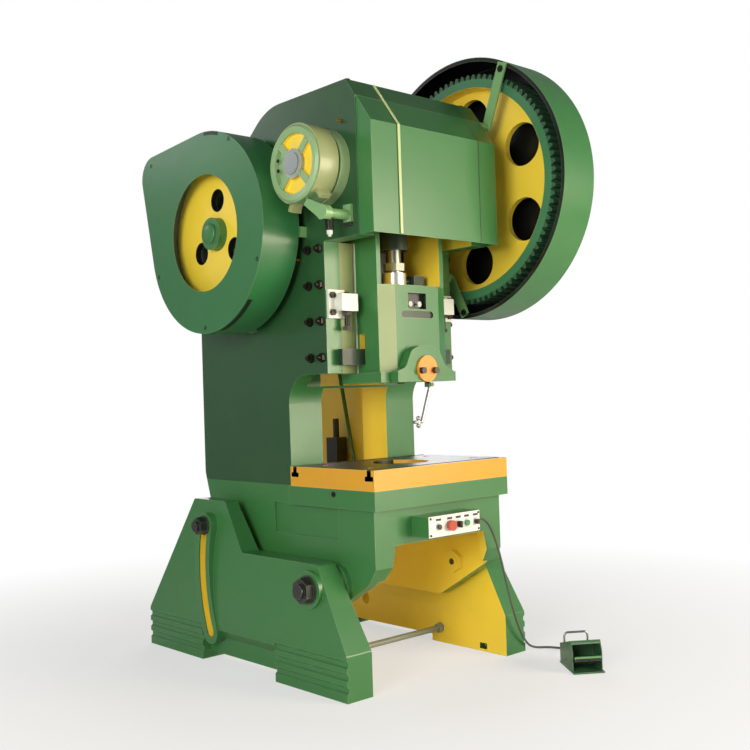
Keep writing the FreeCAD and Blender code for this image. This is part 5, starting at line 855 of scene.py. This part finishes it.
# %% [markdown]
# ## Where the screws go
# Covers are held at their rims, and the bearing caps and the motor's end by a circle of screws.
# Places come from the solids' boxes or sizes, so each screw sits on the face that it holds.

# %% Put the screws on
LEFT, RIGHT, FRONT, UP = (-1, 0, 0), (1, 0, 0), (0, -1, 0), (0, 0, 1)


def ring(centre, radius, count, facing, start=0.0):
    """Points round a circle on a face that looks along facing, from an angle in radians."""
    turn = Vector(facing).to_track_quat("Z", "Y")
    steps = [start + 2 * math.pi * step / count for step in range(count)]
    return [(Vector(centre) + turn @ Vector((radius * math.cos(a), radius * math.sin(a), 0)), facing)
            for a in steps]


def screws(name, points, head, height, washer, sides=6, socket=0.0):
    """One piece of screws. head, washer and socket are radii."""
    mesh = grow(screw_tree, points, Sides=sides, Head=head, Height=height, Socket=socket, Washer=washer)
    piece(name, mesh, black_steel, "press_frame")


motor_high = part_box("motor")[1]
bearing_low, bearing_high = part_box("shaft_bearings")
panel_low, panel_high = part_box("control_panel")
MOTOR_AXIS = (0.426, 2.001)
PANEL_RIM, BEARING_CIRCLE, MOTOR_CIRCLE = 0.008, 0.076, 0.112

screws("StrapScrews", [((0.392, -0.706, 2.352), LEFT), ((0.392, -0.463, 1.390), LEFT)],
       head=0.011, height=0.007, washer=0.014)
screws("DrumScrews", [((-0.483, -0.372, z), LEFT) for z in (1.930, 1.893)],
       head=0.0055, height=0.003, washer=0.007)
screws("HeadTopScrews", [((x, -0.563, 2.208), UP) for x in (-0.302, 0.302)],
       head=0.012, height=0.010, washer=0.016)
screws("TableScrews", [((-0.355, -0.475, 0.700), LEFT), ((0.355, -0.475, 0.700), RIGHT)],
       head=0.008, height=0.005, washer=0.0105)
screws("PanelScrews", [((x, panel_low.y, z), FRONT)
                       for x in (panel_low.x + PANEL_RIM, panel_high.x - PANEL_RIM)
                       for z in (panel_low.z + PANEL_RIM, panel_high.z - PANEL_RIM)],
       head=0.0032, height=0.0018, washer=0.004, sides=ROUND, socket=0.0014)
screws("BearingScrews", ring((bearing_low.x, *SHAFT), BEARING_CIRCLE, 6, LEFT)
       + ring((bearing_high.x, *SHAFT), BEARING_CIRCLE, 6, RIGHT),
       head=0.008, height=0.007, washer=0.0085, sides=ROUND, socket=0.0042)
screws("MotorScrews", ring((motor_high.x, *MOTOR_AXIS), MOTOR_CIRCLE, 4, RIGHT, start=0.785),
       head=0.005, height=0.004, washer=0.0065)


# %% [markdown]
# ## The brake spring and the fan grille
# A compression spring keeps the brake band closed. It is a spiral with a round wire swept along
# it. The grille over the motor's fan is the same idea with circles of growing size and spokes.


# %% Spring
def swept(tree, line, wire):
    profile = add(tree, "GeometryNodeCurvePrimitiveCircle", Resolution=10, Radius=wire)
    return add(tree, "GeometryNodeCurveToMesh", Curve=line, Profile_Curve=profile.outputs[0],
               Fill_Caps=True).outputs[0]


spring_tree, size = group("Spring", Turns="Float", Radius="Float", Height="Float", Wire="Float")
spiral = add(spring_tree, "GeometryNodeCurveSpiral", Resolution=28, Rotations=size["Turns"],
             Start_Radius=size["Radius"], End_Radius=size["Radius"], Height=size["Height"])
coil = swept(spring_tree, spiral.outputs[0], size["Wire"])
close_group(spring_tree, size["Geometry"], coil, black_steel)
SPRING_FOOT = (-0.429, -0.588, 1.652)
spring = grow(spring_tree, [(SPRING_FOOT, UP)], Turns=5.5, Radius=0.0145, Height=0.038, Wire=0.0022)
piece("BrakeSpring", spring, black_steel, "press_frame", smooth=60)
print("the spring has", len(spring.polygons), "faces")

# %% [markdown]
# ## The fan's grille
# The wires are laid by their number: each hoop is one pitch wider than the one before, and each
# spoke is turned by its share of a full circle.

# %% Grille
GRILLE_LIFT = 0.0004
grille_tree, size = group("Grille", Rings="Int", Spokes="Int", Pitch="Float", Wire="Float")


def around(count, turn, width, line):
    """A curve laid on the middle once for each of count, turned and scaled."""
    spread = add(grille_tree, "GeometryNodeMeshLine", Count=count, Offset=(0, 0, 0))
    angle = add(grille_tree, "ShaderNodeCombineXYZ", Z=turn)
    spin = add(grille_tree, "FunctionNodeEulerToRotation", _0=angle.outputs[0])
    scale = add(grille_tree, "ShaderNodeCombineXYZ", X=width, Y=width, Z=1.0)
    laid = add(grille_tree, "GeometryNodeInstanceOnPoints", Points=spread.outputs[0],
               Instance=line.outputs[0], Rotation=spin.outputs[0], Scale=scale.outputs[0])
    return add(grille_tree, "GeometryNodeRealizeInstances", _0=laid.outputs[0]).outputs[0]


row = add(grille_tree, "GeometryNodeInputIndex").outputs[0]
growing = math_of(grille_tree, "MULTIPLY", math_of(grille_tree, "ADD", row, 1), size["Pitch"])
widest = math_of(grille_tree, "MULTIPLY", size["Rings"], size["Pitch"])
share = math_of(grille_tree, "DIVIDE", math_of(grille_tree, "MULTIPLY", row, 2 * math.pi), size["Spokes"])
hoop = add(grille_tree, "GeometryNodeCurvePrimitiveCircle", Resolution=48, Radius=1.0)
spoke = add(grille_tree, "GeometryNodeCurvePrimitiveLine", Start=(0, 0, 0), End=(1, 0, 0))
web = add(grille_tree, "GeometryNodeJoinGeometry")
grille_tree.links.new(around(size["Rings"], 0.0, growing, hoop), web.inputs[0])
grille_tree.links.new(around(size["Spokes"], share, widest, spoke), web.inputs[0])
wires = swept(grille_tree, web.outputs[0], size["Wire"])
close_group(grille_tree, size["Geometry"], wires, black_steel)
grille = grow(grille_tree, [((motor_high.x + GRILLE_LIFT, *MOTOR_AXIS), RIGHT)], Rings=6, Spokes=6,
              Pitch=0.0135, Wire=0.0012)
piece("FanGrille", grille, black_steel, "press_frame", smooth=60)
print("the grille has", len(grille.polygons), "faces")

# %% [markdown]
# ## Strips, rings and nipples
# What is left is one of a kind, and a few lines of mesh code each: a prism across the machine,
# and a profile turned about an axis.


# %% Prisms and turned shapes
def prism(outline, x0, x1):
    """A solid across the machine, whose outline is a ring of (y, z)."""
    shape = bmesh.new()
    near, far = ([shape.verts.new((x, y, z)) for y, z in outline] for x in (x0, x1))
    for k in range(len(outline)):
        shape.faces.new((near[k - 1], near[k], far[k], far[k - 1]))
    shape.faces.new(near)
    shape.faces.new(far)
    bmesh.ops.recalc_face_normals(shape, faces=shape.faces[:])
    return shape


def lying(path, thick):
    """The outline of a strip that lies on a path of (y, z), on its left-hand side."""
    outer = []
    for row, (y, z) in enumerate(path):
        before, after = path[max(row - 1, 0)], path[min(row + 1, len(path) - 1)]
        along = Vector((after[0] - before[0], after[1] - before[1])).normalized()
        outer.append((y - along.y * thick, z + along.x * thick))
    return path + outer[::-1]


def turned_shape(profile, place, facing, steps=28):
    """A profile of (height, radius) turned about facing."""
    shape = bmesh.new()
    turn = Vector(facing).to_track_quat("Z", "Y")
    loops = []
    for height, radius in profile:
        loops.append([shape.verts.new(Vector(place) + turn @ Vector((
            radius * math.cos(2 * math.pi * k / steps), radius * math.sin(2 * math.pi * k / steps), height)))
            for k in range(steps)])
    for low, high in zip(loops, loops[1:]):
        for k in range(steps):
            shape.faces.new((low[k], low[k - 1], high[k - 1], high[k]))
    shape.faces.new(loops[0])
    shape.faces.new(loops[-1][::-1])
    bmesh.ops.recalc_face_normals(shape, faces=shape.faces[:])
    return shape


def joined(shapes):
    """One mesh of several shapes, which are used up."""
    mesh = bpy.data.meshes.new("Piece")
    whole = bmesh.new()
    for shape in shapes:
        part = bpy.data.meshes.new("Part")
        shape.to_mesh(part)
        shape.free()
        whole.from_mesh(part)
        bpy.data.meshes.remove(part)
    whole.to_mesh(mesh)
    whole.free()
    return mesh


# %% [markdown]
# ## Trim of the head cover and the guards
# The raised middle panel of the head cover is welded on. Its left edge carries a thin cream strip as
# a painted highlight, and its right edge is only a dark line. The belt guard shows a slot to look
# through at its front foot and a smaller one at its top, each a thin black sheet of painted shade.

# %% Trim
COVER_PATH = [(-0.7165, 1.640), (-0.7165, 2.0355), (-0.5905, 2.2080)]  # up the cover and its slope
HIGHLIGHT_THICK, HIGHLIGHT_LEFT, HIGHLIGHT_RIGHT = 0.0022, -0.2025, -0.1905
SEAM_THICK, SEAM_LEFT, SEAM_RIGHT = 0.0006, 0.2295, 0.2325
# a thin cream strip on the panel's left edge, as a painted highlight
piece("HeadCoverHighlight", joined([prism(lying(COVER_PATH, HIGHLIGHT_THICK), HIGHLIGHT_LEFT, HIGHLIGHT_RIGHT)]),
      enamel("Cream enamel", "#BFCF94", edge_rub_and_highlight=0.1), "press_frame", smooth=20)
piece("HeadCoverSeam", joined([prism(lying(COVER_PATH, SEAM_THICK), SEAM_LEFT, SEAM_RIGHT)]),
      black_paint, "press_frame", smooth=20)


def arc(radius, start, end, count=12):
    """Part of a circle round the flywheel's shaft, from one angle in degrees to another."""
    angles = [math.radians(start + (end - start) * k / count) for k in range(count + 1)]
    return [(SHAFT[0] + radius * math.cos(a), SHAFT[1] + radius * math.sin(a)) for a in angles]


guard_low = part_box("belt_guard")[0]
# the two slots are thin black sheets on the guard, as painted shade
rim_arc, face_arc = arc(radius=0.3968, start=226, end=258), arc(radius=0.3945, start=93, end=108)
rim_slot_shade = prism(lying(rim_arc, thick=-0.0008), x0=-0.532, x1=-0.512)
face_slot_shade = prism(lying(face_arc, thick=0.013), x0=guard_low.x - 0.0002, x1=guard_low.x + 0.002)
piece("GuardSlotShades", joined([rim_slot_shade, face_slot_shade]),
      enamel("Matt black painted shade", "#050605", gloss=0.6, edge_rub_and_highlight=0.0), "press_frame", smooth=20)

# %% [markdown]
# ## Nipples, hub cap and sunk screws
# The slide's guides and the crank's bearings have bronze nipples for the grease gun, and the shaft
# ends under a pressed cap on the flywheel's hub. Each is a profile of (height, radius) in metres.

# %% Nipples, cap and sunk screws
NIPPLE = [(0, 0.0075), (0.005, 0.0075), (0.0055, 0.0045), (0.010, 0.0045), (0.0115, 0.003), (0.014, 0.0042),
          (0.0165, 0.0038), (0.018, 0.0018)]
FLANK_X = 0.335
nipples = [turned_shape(NIPPLE, (side * FLANK_X, y, z), (side, 0, 0))
           for side in (-1, 1) for y, z in ((-0.294, 1.584), (-0.560, 2.060))]
piece("GreaseNipples", joined(nipples), bronze, "press_frame", smooth=50)

CAP = [(0, 0.0405), (0.004, 0.0405), (0.0078, 0.036), (0.0105, 0.024), (0.011, 0.006)]
shaft_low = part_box("pinion_shaft")[0]
piece("HubCap", joined([turned_shape(CAP, (shaft_low.x + 0.0002, *SHAFT), LEFT, steps=40)]), green_paint,
      "drive_shaft", smooth=30)

SUNK = [(-0.0010, 0.0085), (0.0002, 0.0085), (0.0002, 0.0036), (-0.0008, 0.0030)]
sunk = [turned_shape(SUNK, (guard_low.x, y, z), LEFT)
        for y, z in ((-0.139, 2.053), (-0.300, 1.575), (0.400, 1.580), (0.440, 2.055), (0.060, 1.345))]
piece("GuardFaceScrews", joined(sunk), black_steel, "press_frame")

# %% [markdown]
# ## The button line
# Each button sits in a chromed ring, and above it is a small blank legend plate. A ring is open,
# so the two caps that close a turned profile are taken off it. The mushroom of the stop button
# comes down to 1 mm above the panel, so its ring is the thinnest.

# %% Rings and legends
BUTTONS = {-0.101: 0.010, -0.043: 0.011, 0.003: 0.012, 0.048: 0.011, 0.096: 0.009}  # x and radius
STOP_X, BUTTON_LINE = -0.043, 0.574
RING_RISE, STOP_RISE, RING_OUT, RING_SHOULDER, RING_GAP = 0.0032, 0.0008, 0.005, 0.003, 0.0006
LEGEND_LOW, LEGEND_HIGH, LEGEND_HALF, LEGEND_THICK = 0.596, 0.604, 0.013, 0.0008
rings = []
for x, radius in BUTTONS.items():
    rise = STOP_RISE if x == STOP_X else RING_RISE
    profile = [(0, radius + RING_OUT), (rise / 2, radius + RING_OUT), (rise, radius + RING_SHOULDER),
               (rise, radius + RING_GAP), (0, radius + RING_GAP)]
    shape = turned_shape(profile, (x, panel_low.y, BUTTON_LINE), FRONT, steps=36)
    bmesh.ops.delete(shape, geom=[f for f in shape.faces if len(f.verts) > 4], context="FACES_ONLY")
    rings.append(shape)
piece("ButtonRings", joined(rings), chrome, "press_frame")

back, face = panel_low.y, panel_low.y - LEGEND_THICK
legend = [(back, LEGEND_LOW), (back, LEGEND_HIGH), (face, LEGEND_HIGH), (face, LEGEND_LOW)]
legends = [prism(legend, x - LEGEND_HALF, x + LEGEND_HALF) for x in BUTTONS]
piece("Legends", joined(legends), black_plastic, "press_frame")
